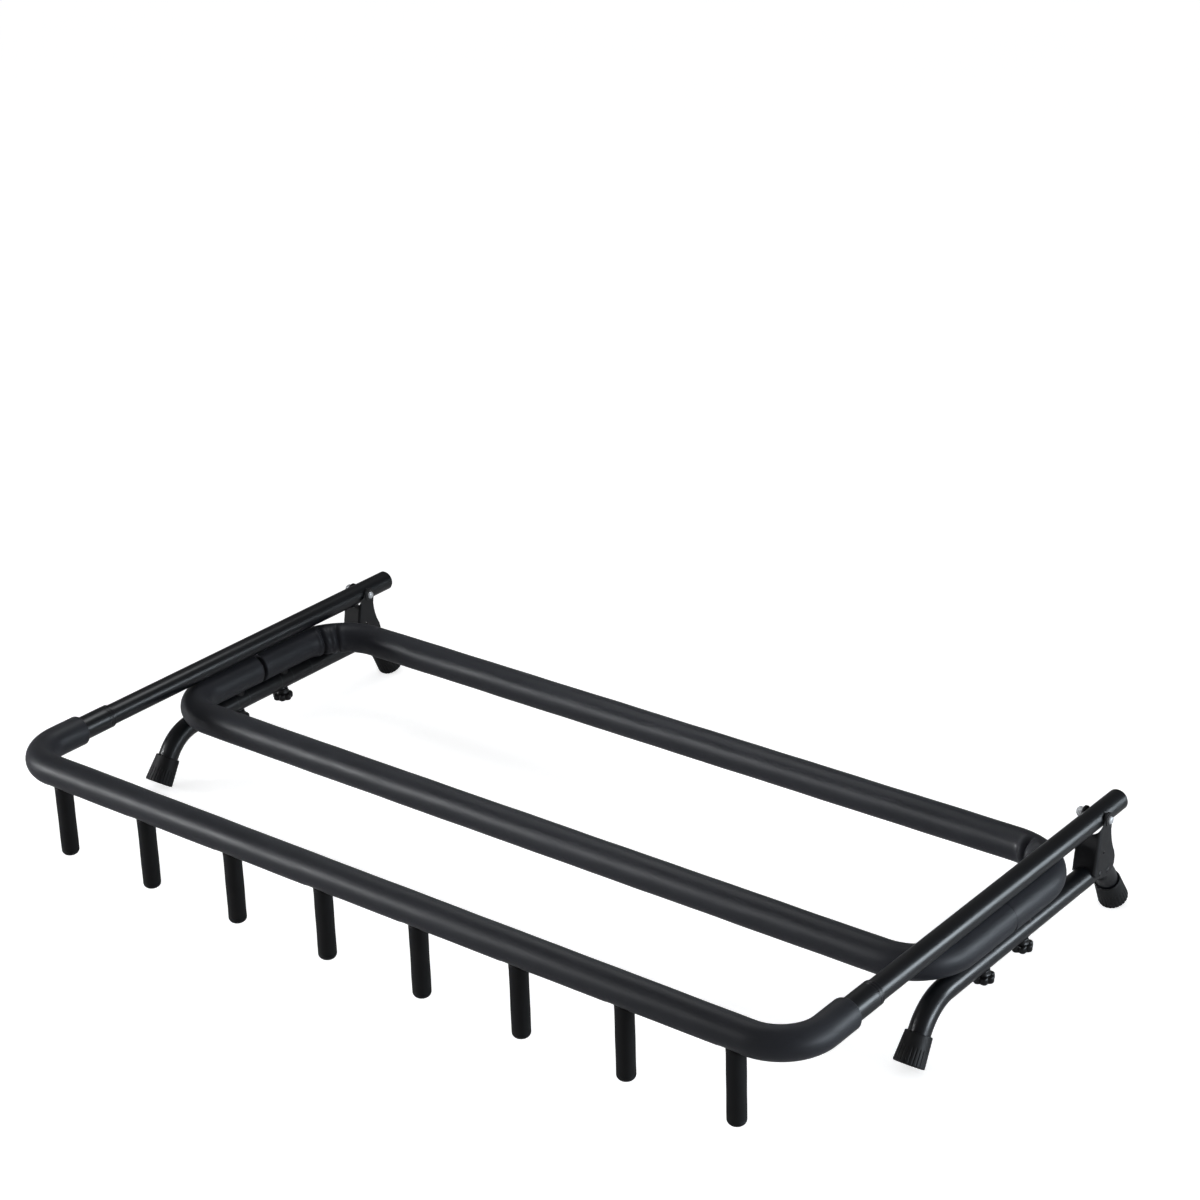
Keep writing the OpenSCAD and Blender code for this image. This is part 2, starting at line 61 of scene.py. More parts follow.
FULL_TURN = 2 * math.pi
NEAR_DOUBLE = 0.2 * MM
FAR_OVER = 20  # past this the soft change is as good as none
PORE_TONE = (0.45, 0.45, 0.45)
MIX_BY = 0  # a Mix node's sockets go by number: the factor, then the two values of each kind
COLOUR_UNDER, COLOUR_OVER, COLOUR_OUT = 6, 7, 2
NUMBER_UNDER, NUMBER_OVER, NUMBER_OUT = 2, 3, 0


class Side(Enum):
    """Left or right half of the rack; the value is the sign of its X."""

    LEFT = -1
    RIGHT = 1

    @property
    def word(self) -> str:
        """The side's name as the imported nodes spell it."""
        return self.name.lower()


class Opening(Enum):
    """Which way the arms of a U-shaped bar point along Y."""

    TO_BACK = 1
    TO_FRONT = -1


class Ends(Enum):
    """How the first and last ring of a lofted surface are closed."""

    LOOPED = "looped"
    CAPPED = "capped"


# ---------------------------------------------------------------- mesh helpers


def lofted_mesh(name: str, rings: np.ndarray, ends: Ends, grain: np.ndarray) -> bpy.types.Object:
    """Makes one closed mesh object from a grid of points, ring after ring.

    Neighbouring points of neighbouring rings are joined by four-sided faces, round and round.
    Looped ends join the last ring to the first; capped ends get a centre point each.

    Args:
        name: name of the new object.
        rings: points, shape (ring count, points in a ring, 3), in metres.
        ends: how the two ends are closed.
        grain: a coordinate for each grid point that the finishes follow, same shape.

    Returns:
        The new object, smooth shaded, faces outwards, at the origin.
    """
    n_ring, n_round = rings.shape[:2]
    points = rings.reshape(-1, 3)
    grain_points = grain.reshape(-1, 3)
    row = np.arange(n_ring if ends is Ends.LOOPED else n_ring - 1)[:, None]
    col = np.arange(n_round)[None, :]
    nxt_row = (row + 1) % n_ring
    nxt_col = (col + 1) % n_round
    quads = np.stack(
        [row * n_round + col, row * n_round + nxt_col,
         nxt_row * n_round + nxt_col, nxt_row * n_round + col], axis=-1).reshape(-1, 4)
    fans = np.zeros((0, 3), int)
    if ends is Ends.CAPPED:
        around = np.arange(n_round)
        after = (around + 1) % n_round
        first, last = len(points), len(points) + 1
        base = (n_ring - 1) * n_round
        points = np.vstack([points, rings[0].mean(0), rings[-1].mean(0)])
        grain_points = np.vstack([grain_points, grain[0].mean(0), grain[-1].mean(0)])
        fans = np.vstack([
            np.stack([np.full(n_round, first), after, around], -1),
            np.stack([np.full(n_round, last), base + around, base + after], -1)])
    triangles = np.vstack([quads[:, [0, 1, 2]], quads[:, [0, 2, 3]], fans])
    a, b, c = (points[triangles[:, i]] for i in range(3))
    if np.einsum("ij,ij->i", a, np.cross(b, c)).sum() < 0:
        quads = quads[:, ::-1]
        fans = fans[:, ::-1]
    mesh = bpy.data.meshes.new(name)
    mesh.vertices.add(len(points))
    mesh.vertices.foreach_set("co", points.astype(np.float32).ravel())
    corners = np.concatenate([quads.ravel(), fans.ravel()]).astype(np.int32)
    totals = np.concatenate([np.full(len(quads), 4), np.full(len(fans), 3)])
    starts = np.concatenate([[0], np.cumsum(totals)[:-1]]).astype(np.int32)
    mesh.loops.add(len(corners))
    mesh.loops.foreach_set("vertex_index", corners)
    mesh.polygons.add(len(totals))
    mesh.polygons.foreach_set("loop_start", starts)
    mesh.polygons.foreach_set("use_smooth", np.ones(len(totals), bool))
    store = mesh.attributes.new("grain", "FLOAT_VECTOR", "POINT")
    store.data.foreach_set("vector", grain_points.astype(np.float32).ravel())
    mesh.update(calc_edges=True)
    mesh.validate()
    piece = bpy.data.objects.new(name, mesh)
    bpy.context.scene.collection.objects.link(piece)
    return piece


def smooth_step(low: float, high: float, value: np.ndarray) -> np.ndarray:
    """Rises from 0 at low to 1 at high as 3t^2 - 2t^3."""
    t = np.clip((value - low) / (high - low), 0, 1)
    return t * t * (3 - 2 * t)


def quarter_round(radius: float, steps: int = 6) -> tuple[np.ndarray, np.ndarray]:
    """A quarter circle as (distance along, distance down) from its start, level, to its end.

    Args:
        radius: radius of the rounding.
        steps: number of points.

    Returns:
        Two arrays that go from (0, 0) to (radius, radius).
    """
    turn = np.linspace(0, math.pi / 2, steps)
    return radius * np.sin(turn), radius * (1 - np.cos(turn))


def merged(*parts: np.ndarray) -> np.ndarray:
    """Sorted positions from several lists, with near doubles dropped."""
    every = np.sort(np.concatenate(parts))
    keep = np.concatenate([[True], np.diff(every) > NEAR_DOUBLE])
    return every[keep]


# ---------------------------------------------------------------- shader groups


class ShaderGroups:
    """The shared effects, each built once as a node group."""

    def __init__(self) -> None:
        """Builds every group."""
        self.grain = self._grain()
        self.drift = self._drift()
        self.edges = self._edges()
        self.marks = self._marks()

    @staticmethod
    def _new(name: str, inputs: list[tuple[str, str, object]], outputs: list[tuple[str, str]]
             ) -> tuple[bpy.types.NodeTree, bpy.types.Node, bpy.types.Node]:
        """Starts a group with named sockets.

        Args:
            name: the group's name.
            inputs: (name, socket type, starting value or None) for each input.
            outputs: (name, socket type) for each output.

        Returns:
            The group, its input node and its output node.
        """
        group = bpy.data.node_groups.new(name, "ShaderNodeTree")
        for label, kind, value in inputs:
            socket = group.interface.new_socket(label, in_out="INPUT", socket_type=kind)
            if value is not None:
                socket.default_value = value
        for label, kind in outputs:
            group.interface.new_socket(label, in_out="OUTPUT", socket_type=kind)
        return group, group.nodes.new("NodeGroupInput"), group.nodes.new("NodeGroupOutput")

    @staticmethod
    def _math(group: bpy.types.NodeTree, operation: str, first: bpy.types.NodeSocket | float,
              second: bpy.types.NodeSocket | float | None = None,
              clamp: bool = False) -> bpy.types.NodeSocket:
        """Adds a Math node; sockets are linked and numbers are set.

        Args:
            group: the tree to add to.
            operation: Blender's name of the operation.
            first: socket or number.
            second: socket or number, where the operation has two.
            clamp: keeps the result between 0 and 1.

        Returns:
            The node's output socket.
        """
        node = group.nodes.new("ShaderNodeMath")
        node.operation = operation
        node.use_clamp = clamp
        for slot, value in enumerate((first, second)):
            if value is None:
                continue
            if isinstance(value, bpy.types.NodeSocket):
                group.links.new(value, node.inputs[slot])
            else:
                node.inputs[slot].default_value = value
        return node.outputs[0]

    @classmethod
    def _grain(cls) -> bpy.types.NodeTree:
        """Fine skin texture: two noises with small pores, as a height and a pore mask."""
        group, given, out = cls._new(
            "fine_grain",
            [("Vector", "NodeSocketVector", None), ("Scale", "NodeSocketFloat", 900.0),
             ("Pores", "NodeSocketFloat", 0.4)],
            [("Height", "NodeSocketFloat"), ("Pore Mask", "NodeSocketFloat")])
        coarse = group.nodes.new("ShaderNodeTexNoise")
        coarse.inputs["Detail"].default_value = 3.0
        coarse.inputs["Roughness"].default_value = 0.6
        fine = group.nodes.new("ShaderNodeTexVoronoi")
        fine.feature = "SMOOTH_F1"
        fine.inputs["Smoothness"].default_value = 0.5
        group.links.new(given.outputs["Vector"], coarse.inputs["Vector"])
        group.links.new(given.outputs["Vector"], fine.inputs["Vector"])
        group.links.new(given.outputs["Scale"], coarse.inputs["Scale"])
        finer = cls._math(group, "MULTIPLY", given.outputs["Scale"], 1.7)
        group.links.new(finer, fine.inputs["Scale"])
        pore = group.nodes.new("ShaderNodeMapRange")
        pore.interpolation_type = "SMOOTHSTEP"
        pore.inputs["From Min"].default_value = 0.34
        pore.inputs["From Max"].default_value = 0.1
        group.links.new(fine.outputs["Distance"], pore.inputs["Value"])
        dip = cls._math(group, "MULTIPLY", pore.outputs["Result"], given.outputs["Pores"])
        group.links.new(cls._math(group, "SUBTRACT", coarse.outputs[0], dip), out.inputs["Height"])
        group.links.new(dip, out.inputs["Pore Mask"])
        return group

    @classmethod
    def _drift(cls) -> bpy.types.NodeTree:
        """Slow drift between two tones, as a colour and a 0 to 1 value."""
        group, given, out = cls._new(
            "tone_drift",
            [("Vector", "NodeSocketVector", None), ("Scale", "NodeSocketFloat", 12.0),
             ("Tone", "NodeSocketColor", None), ("Second Tone", "NodeSocketColor", None),
             ("Low", "NodeSocketFloat", 0.3), ("High", "NodeSocketFloat", 0.7)],
            [("Color", "NodeSocketColor"), ("Value", "NodeSocketFloat")])
        slow = group.nodes.new("ShaderNodeTexNoise")
        slow.inputs["Detail"].default_value = 5.0
        slow.inputs["Roughness"].default_value = 0.65
        group.links.new(given.outputs["Vector"], slow.inputs["Vector"])
        group.links.new(given.outputs["Scale"], slow.inputs["Scale"])
        spread = group.nodes.new("ShaderNodeMapRange")
        spread.inputs["From Min"].default_value = 0.35
        spread.inputs["From Max"].default_value = 0.65
        group.links.new(slow.outputs[0], spread.inputs["Value"])
        group.links.new(given.outputs["Low"], spread.inputs["To Min"])
        group.links.new(given.outputs["High"], spread.inputs["To Max"])
        mix = group.nodes.new("ShaderNodeMix")
        mix.data_type = "RGBA"
        group.links.new(spread.outputs["Result"], mix.inputs[MIX_BY])
        group.links.new(given.outputs["Tone"], mix.inputs[COLOUR_UNDER])
        group.links.new(given.outputs["Second Tone"], mix.inputs[COLOUR_OVER])
        group.links.new(mix.outputs[COLOUR_OUT], out.inputs["Color"])
        group.links.new(spread.outputs["Result"], out.inputs["Value"])
        return group

    @classmethod
    def _edges(cls) -> bpy.types.NodeTree:
        """Rounded edges as a normal, and a strip along them as a mask.

        The strip is where the rounded normal leaves the face's own normal, broken up by noise. It
        stands for worn paint on most finishes and for painted dark shade along the zinc rims.
        """
        group, given, out = cls._new(
            "edge_wear_and_shade",
            [("Vector", "NodeSocketVector", None), ("Radius", "NodeSocketFloat", 0.0006),
             ("Wear And Shade", "NodeSocketFloat", 0.4)],
            [("Normal", "NodeSocketVector"), ("Mask", "NodeSocketFloat")])
        rounded = group.nodes.new("ShaderNodeBevel")
        rounded.samples = 6
        group.links.new(given.outputs["Radius"], rounded.inputs["Radius"])
        face = group.nodes.new("ShaderNodeNewGeometry")
        dot = group.nodes.new("ShaderNodeVectorMath")
        dot.operation = "DOT_PRODUCT"
        group.links.new(rounded.outputs["Normal"], dot.inputs[0])
        group.links.new(face.outputs["Normal"], dot.inputs[1])
        bent = group.nodes.new("ShaderNodeMapRange")
        bent.interpolation_type = "SMOOTHSTEP"
        bent.inputs["From Min"].default_value = 0.985
        bent.inputs["From Max"].default_value = 0.85
        group.links.new(dot.outputs["Value"], bent.inputs["Value"])
        chip_and_shade_noise = group.nodes.new("ShaderNodeTexNoise")
        chip_and_shade_noise.inputs["Scale"].default_value = 420.0
        chip_and_shade_noise.inputs["Detail"].default_value = 4.0
        group.links.new(given.outputs["Vector"], chip_and_shade_noise.inputs["Vector"])
        broken = group.nodes.new("ShaderNodeMapRange")
        broken.inputs["From Min"].default_value = 0.4
        broken.inputs["From Max"].default_value = 0.7
        group.links.new(chip_and_shade_noise.outputs[0], broken.inputs["Value"])
        strip = cls._math(group, "MULTIPLY", bent.outputs["Result"], broken.outputs["Result"])
        # strip strength: worn paint on most finishes, painted dark shade on the zinc rims
        worn_and_shaded = cls._math(group, "MULTIPLY", strip, given.outputs["Wear And Shade"], clamp=True)
        group.links.new(rounded.outputs["Normal"], out.inputs["Normal"])
        group.links.new(worn_and_shaded, out.inputs["Mask"])
        return group

    @classmethod
    def _marks(cls) -> bpy.types.NodeTree:
        """A thin ring round a tube that runs along Y, at a given Y, as a mask."""
        group, given, out = cls._new(
            "ring_mark",
            [("Vector", "NodeSocketVector", None), ("Place", "NodeSocketFloat", 0.0),
             ("Width", "NodeSocketFloat", 0.0008), ("Strength", "NodeSocketFloat", 0.5)],
            [("Mask", "NodeSocketFloat")])
        split = group.nodes.new("ShaderNodeSeparateXYZ")
        group.links.new(given.outputs["Vector"], split.inputs[0])
        away = cls._math(group, "SUBTRACT", split.outputs["Y"], given.outputs["Place"])
        distance = cls._math(group, "ABSOLUTE", away)
        near = cls._math(group, "DIVIDE", distance, given.outputs["Width"])
        fade = cls._math(group, "SUBTRACT", 1.0, near, clamp=True)
        mask = cls._math(group, "MULTIPLY", fade, given.outputs["Strength"])
        group.links.new(mask, out.inputs["Mask"])
        return group


# ---------------------------------------------------------------- finishes


@dataclass(frozen=True)
class Finish:
    """A surface finish: its tones, gloss and small relief."""

    name: str
    slot: str
    tone: tuple[float, float, float]
    second_tone: tuple[float, float, float]
    roughness: tuple[float, float]
    specular: float = 0.5
    metallic: float = 0.0
    follows_piece: bool = False
    drift_scale: float = 14.0
    grain_scale: float = 900.0
    grain_depth: float = 0.00002
    pores: float = 0.3
    edge_radius: float = 0.0
    # edge strip strength: worn paint on most finishes, painted dark shade on the zinc rims
    edge_wear_and_shade: float = 0.0
    edge_tone: tuple[float, float, float] = (0.2, 0.2, 0.21)
    coat: float = 0.0
    coat_roughness: float = 0.2
    sheen: float = 0.0
    stretch: tuple[float, float, float] = (1.0, 1.0, 1.0)
    ring_marks: tuple[float, ...] = ()

    def material(self, groups: ShaderGroups) -> bpy.types.Material:
        """Builds the node material.

        Args:
            groups: the shared effect groups.

        Returns:
            The material, ready for a material slot.
        """
        made = bpy.data.materials.new(self.name)
        made.use_nodes = True
        tree = made.node_tree
        shader = tree.nodes["Principled BSDF"]
        shader.inputs["Metallic"].default_value = self.metallic
        shader.inputs["Specular IOR Level"].default_value = self.specular
        shader.inputs["Coat Weight"].default_value = self.coat
        shader.inputs["Coat Roughness"].default_value = self.coat_roughness
        shader.inputs["Sheen Weight"].default_value = self.sheen
        shader.inputs["Sheen Roughness"].default_value = 0.5
        place = self._place(tree)
        drift = self._group(tree, groups.drift, place)
        drift.inputs["Scale"].default_value = self.drift_scale
        drift.inputs["Tone"].default_value = (*self.tone, 1.0)
        drift.inputs["Second Tone"].default_value = (*self.second_tone, 1.0)
        drift.inputs["Low"].default_value = 0.0
        drift.inputs["High"].default_value = 1.0
        grain = self._group(tree, groups.grain, place)
        grain.inputs["Scale"].default_value = self.grain_scale
        grain.inputs["Pores"].default_value = self.pores
        gloss = tree.nodes.new("ShaderNodeMapRange")
        gloss.inputs["To Min"].default_value = self.roughness[0]
        gloss.inputs["To Max"].default_value = self.roughness[1]
        tree.links.new(drift.outputs["Value"], gloss.inputs["Value"])
        tree.links.new(gloss.outputs["Result"], shader.inputs["Roughness"])
        colour = self._mixed(tree, grain.outputs["Pore Mask"], drift.outputs["Color"], PORE_TONE,
                             "MULTIPLY")
        relief = tree.nodes.new("ShaderNodeBump")
        relief.inputs["Strength"].default_value = 1.0
        relief.inputs["Distance"].default_value = self.grain_depth
        tree.links.new(grain.outputs["Height"], relief.inputs["Height"])
        if self.edge_radius > 0:
            edges = self._group(tree, groups.edges, place)
            edges.inputs["Radius"].default_value = self.edge_radius
            edges.inputs["Wear And Shade"].default_value = self.edge_wear_and_shade
            tree.links.new(edges.outputs["Normal"], relief.inputs["Normal"])
            colour = self._mixed(tree, edges.outputs["Mask"], colour, self.edge_tone)
        for mark in self.ring_marks:
            ring = self._group(tree, groups.marks, place)
            ring.inputs["Place"].default_value = mark
            colour = self._mixed(tree, ring.outputs["Mask"], colour, self.edge_tone)
        tree.links.new(colour, shader.inputs["Base Color"])
        tree.links.new(relief.outputs["Normal"], shader.inputs["Normal"])
        return made

    def _place(self, tree: bpy.types.NodeTree) -> bpy.types.NodeSocket:
        """The coordinate that the pattern reads, stretched along the piece where asked."""
        if self.follows_piece:
            source = tree.nodes.new("ShaderNodeAttribute")
            source.attribute_name = "grain"
            socket = source.outputs["Vector"]
        else:
            source = tree.nodes.new("ShaderNodeTexCoord")
            socket = source.outputs["Object"]
        mapping = tree.nodes.new("ShaderNodeMapping")
        mapping.inputs["Scale"].default_value = self.stretch
        tree.links.new(socket, mapping.inputs["Vector"])
        return mapping.outputs["Vector"]

    @staticmethod
    def _group(tree: bpy.types.NodeTree, group: bpy.types.NodeTree,
               place: bpy.types.NodeSocket) -> bpy.types.Node:
        """Places a shared group in the material and gives it the pattern coordinate."""
        node = tree.nodes.new("ShaderNodeGroup")
        node.node_tree = group
        tree.links.new(place, node.inputs["Vector"])
        return node

    @staticmethod
    def _mixed(tree: bpy.types.NodeTree, mask: bpy.types.NodeSocket, under: bpy.types.NodeSocket,
               over: tuple[float, float, float], blend: str = "MIX") -> bpy.types.NodeSocket:
        """Lays a plain tone over a colour where a mask is 1.

        Args:
            tree: the material's node tree.
            mask: where the tone shows, 0 to 1.
            under: the colour below.
            over: the tone.
            blend: Blender's name of the way the two are joined.

        Returns:
            The colour socket.
        """
        mix = tree.nodes.new("ShaderNodeMix")
        mix.data_type = "RGBA"
        mix.blend_type = blend
        tree.links.new(mask, mix.inputs[MIX_BY])
        tree.links.new(under, mix.inputs[COLOUR_UNDER])
        mix.inputs[COLOUR_OVER].default_value = (*over, 1.0)
        return mix.outputs[COLOUR_OUT]


@dataclass
class Finishes:
    """Every finish on the rack, with its material made on first use."""

    groups: ShaderGroups
    leg_rings: tuple[float, ...]
    made: dict[str, bpy.types.Material] = field(default_factory=dict)

    def table(self) -> dict[str, Finish]:
        """The finishes by name."""
        coat = Finish("black_powder_coat", "black_tube", (0.0034, 0.0041, 0.0058),
                      (0.0055, 0.0063, 0.0084), (0.3, 0.38), specular=0.65, drift_scale=9.0,
                      grain_scale=750.0, grain_depth=0.000006, pores=0.0, coat=0.12,
                      coat_roughness=0.24, edge_radius=0.0004, edge_wear_and_shade=0.35,
                      edge_tone=(0.09, 0.095, 0.1))
        every = [
            coat,
            replace(coat, name="black_powder_coat_leg", edge_tone=(0.06, 0.07, 0.072),
                    ring_marks=self.leg_rings),
            Finish("sleeve_foam", "black_foam", (0.0153, 0.0165, 0.0218), (0.0197, 0.021, 0.0275),
                   (0.42, 0.52), specular=0.45, follows_piece=True, drift_scale=30.0,
                   grain_scale=1500.0, grain_depth=0.00006, pores=0.5, sheen=0.05,
                   stretch=(1.0, 1.0, 0.45)),
            Finish("peg_foam_skin", "peg_foam", (0.0075, 0.0075, 0.0082), (0.011, 0.011, 0.0118),
                   (0.55, 0.66), specular=0.25, follows_piece=True, drift_scale=60.0,
                   grain_scale=1500.0, grain_depth=0.00005, pores=0.4,
                   stretch=(1.0, 1.0, 0.6)),
            Finish("black_pressed_steel", "black_bracket", (0.008, 0.008, 0.009),
                   (0.013, 0.013, 0.0145), (0.36, 0.46), specular=0.5, drift_scale=40.0,
                   grain_scale=900.0, grain_depth=0.00002, pores=0.0, edge_radius=0.0007,
                   edge_wear_and_shade=0.8, edge_tone=(0.12, 0.12, 0.125)),
            Finish("black_rivet_paint", "black_rivet", (0.012, 0.012, 0.013), (0.02, 0.02, 0.021),
                   (0.3, 0.42), specular=0.5, drift_scale=120.0, edge_radius=0.0004,
                   edge_wear_and_shade=0.9, edge_tone=(0.2, 0.2, 0.2)),
            Finish("foot_rubber_skin", "foot_rubber", (0.0055, 0.0055, 0.006),
                   (0.0095, 0.0095, 0.0105), (0.46, 0.6), specular=0.4, follows_piece=True,
                   drift_scale=70.0, grain_scale=1300.0, grain_depth=0.00003, pores=0.15),
            Finish("knob_plastic", "black_plastic", (0.004, 0.004, 0.0045), (0.007, 0.007, 0.0075),
                   (0.26, 0.38), specular=0.5, follows_piece=True, drift_scale=90.0,
                   grain_scale=1600.0, grain_depth=0.00001, pores=0.0),
            Finish("plug_plastic", "black_plastic", (0.006, 0.006, 0.0065), (0.01, 0.01, 0.011),
                   (0.38, 0.5), specular=0.45, drift_scale=70.0, grain_scale=1500.0,
                   grain_depth=0.000015, pores=0.1, edge_radius=0.0005, edge_wear_and_shade=0.3,
                   edge_tone=(0.05, 0.05, 0.052)),
            # the dark edge tone here is painted shade along the rims of bolt heads, nuts and screws
            Finish("zinc_plate", "zinc_steel", (0.72, 0.74, 0.77), (0.86, 0.87, 0.88),
                   (0.2, 0.34), metallic=0.45, drift_scale=160.0, grain_scale=2600.0,
                   grain_depth=0.00001, pores=0.0, edge_radius=0.0013, edge_wear_and_shade=1.0,
                   edge_tone=(0.06, 0.06, 0.065)),
            Finish("oiled_washer", "black_washer", (0.02, 0.02, 0.021), (0.035, 0.034, 0.034),
                   (0.4, 0.55), specular=0.5, drift_scale=150.0, edge_radius=0.0003,
                   edge_wear_and_shade=0.5, edge_tone=(0.14, 0.14, 0.14)),
            Finish("bare_steel", "raw_steel", (0.32, 0.31, 0.3), (0.46, 0.45, 0.43),
                   (0.34, 0.5), metallic=1.0, drift_scale=110.0, grain_scale=1800.0,
                   grain_depth=0.00002, pores=0.1, edge_radius=0.0003, edge_wear_and_shade=0.3,
                   edge_tone=(0.6, 0.6, 0.58)),
        ]
        return {finish.name: finish for finish in every}

    def dress(self, piece: bpy.types.Object, name: str) -> None:
        """Puts a finish on a piece in place of whatever it wore.

        Args:
            piece: the object to dress.
            name: the finish's name.
        """
        finish = self.table()[name]
        if name not in self.made:
            self.made[name] = finish.material(self.groups)
        if len(piece.data.materials) == 0:
            piece.data.materials.append(self.made[name])
        for slot in piece.material_slots:
            slot.material = self.made[name]


# ---------------------------------------------------------------- U-shaped bars


@dataclass(frozen=True)
class BarLine:
    """Centre line of a U-shaped bar: an arm, a bend, the long run, a bend and an arm."""

    half_width: float
    arm: float
    bend: float

    @property
    def arm_run(self) -> float:
        """Straight length of one arm."""
        return self.arm - self.bend

    @property
    def bend_run(self) -> float:
        """Length of one bend along the centre line."""
        return self.bend * math.pi / 2

    @property
    def length(self) -> float:
        """Whole length of the centre line."""
        return 2 * (self.arm_run + self.bend_run + self.half_width - self.bend)

    def bend_start(self, side: Side) -> float:
        """Distance along the line where the bend on a side begins."""
        if side is Side.LEFT:
            return self.arm_run
        return self.length - self.arm_run - self.bend_run

    def at(self, along: np.ndarray) -> tuple[np.ndarray, np.ndarray]:
        """Points and outward directions of the line, in the bar's own plane.

        The left arm comes down along -Y at x = -half_width, the bend turns through a quarter
        circle of radius bend, the run goes along +X at y = 0, and the right side mirrors it.

        Args:
            along: distances from the end of the left arm.

        Returns:
            Points and unit directions away from the inside of the U, each (n, 3).
        """
        w, r = self.half_width, self.bend
        half = self.length / 2
        mirrored = along > half
        s = np.where(mirrored, self.length - along, along)
        turn = np.clip((s - self.arm_run) / r, 0, math.pi / 2)
        x = -w + r - r * np.cos(turn) + np.maximum(s - self.arm_run - self.bend_run, 0)
        y = r - r * np.sin(turn) + np.maximum(self.arm_run - s, 0)
        nx, ny = -np.cos(turn), -np.sin(turn)
        sign = np.where(mirrored, -1.0, 1.0)
        flat = np.zeros_like(x)
        return np.stack([sign * x, y, flat], -1), np.stack([sign * nx, ny, flat], -1)


@dataclass(frozen=True)
class Crease:
    """A fold squeezed into the inner side of a bend.

    The fold leans a little round the sleeve, and a low swell stands on both sides of it.
    """

    side: Side
    turn: float
    depth: float
    width: float
    lean: float = 1.6 * MM
    lean_phase: float = 0.6
    swell: float = 0.3
    swell_place: float = 3.2
    swell_width: float = 1.8


@dataclass(frozen=True)
class Ripple:
    """One slow sine wave in a sleeve's skin: share of the height, wavelength, twist and phase."""

    share: float
    wavelength: float
    twist: int
    phase: float


CREASE_SPAN = (12 * MM, 0.7 * MM)  # reach and spacing of the closer stations round a crease
RECESS_SPAN = (13 * MM, 0.9 * MM)
PUCKER_SPAN = (16 * MM, 1.5 * MM)
RIPPLES = (Ripple(0.5, 0.137, 2, 1.3), Ripple(0.35, 0.061, -1, 0.4), Ripple(0.3, 0.21, 3, 2.2))


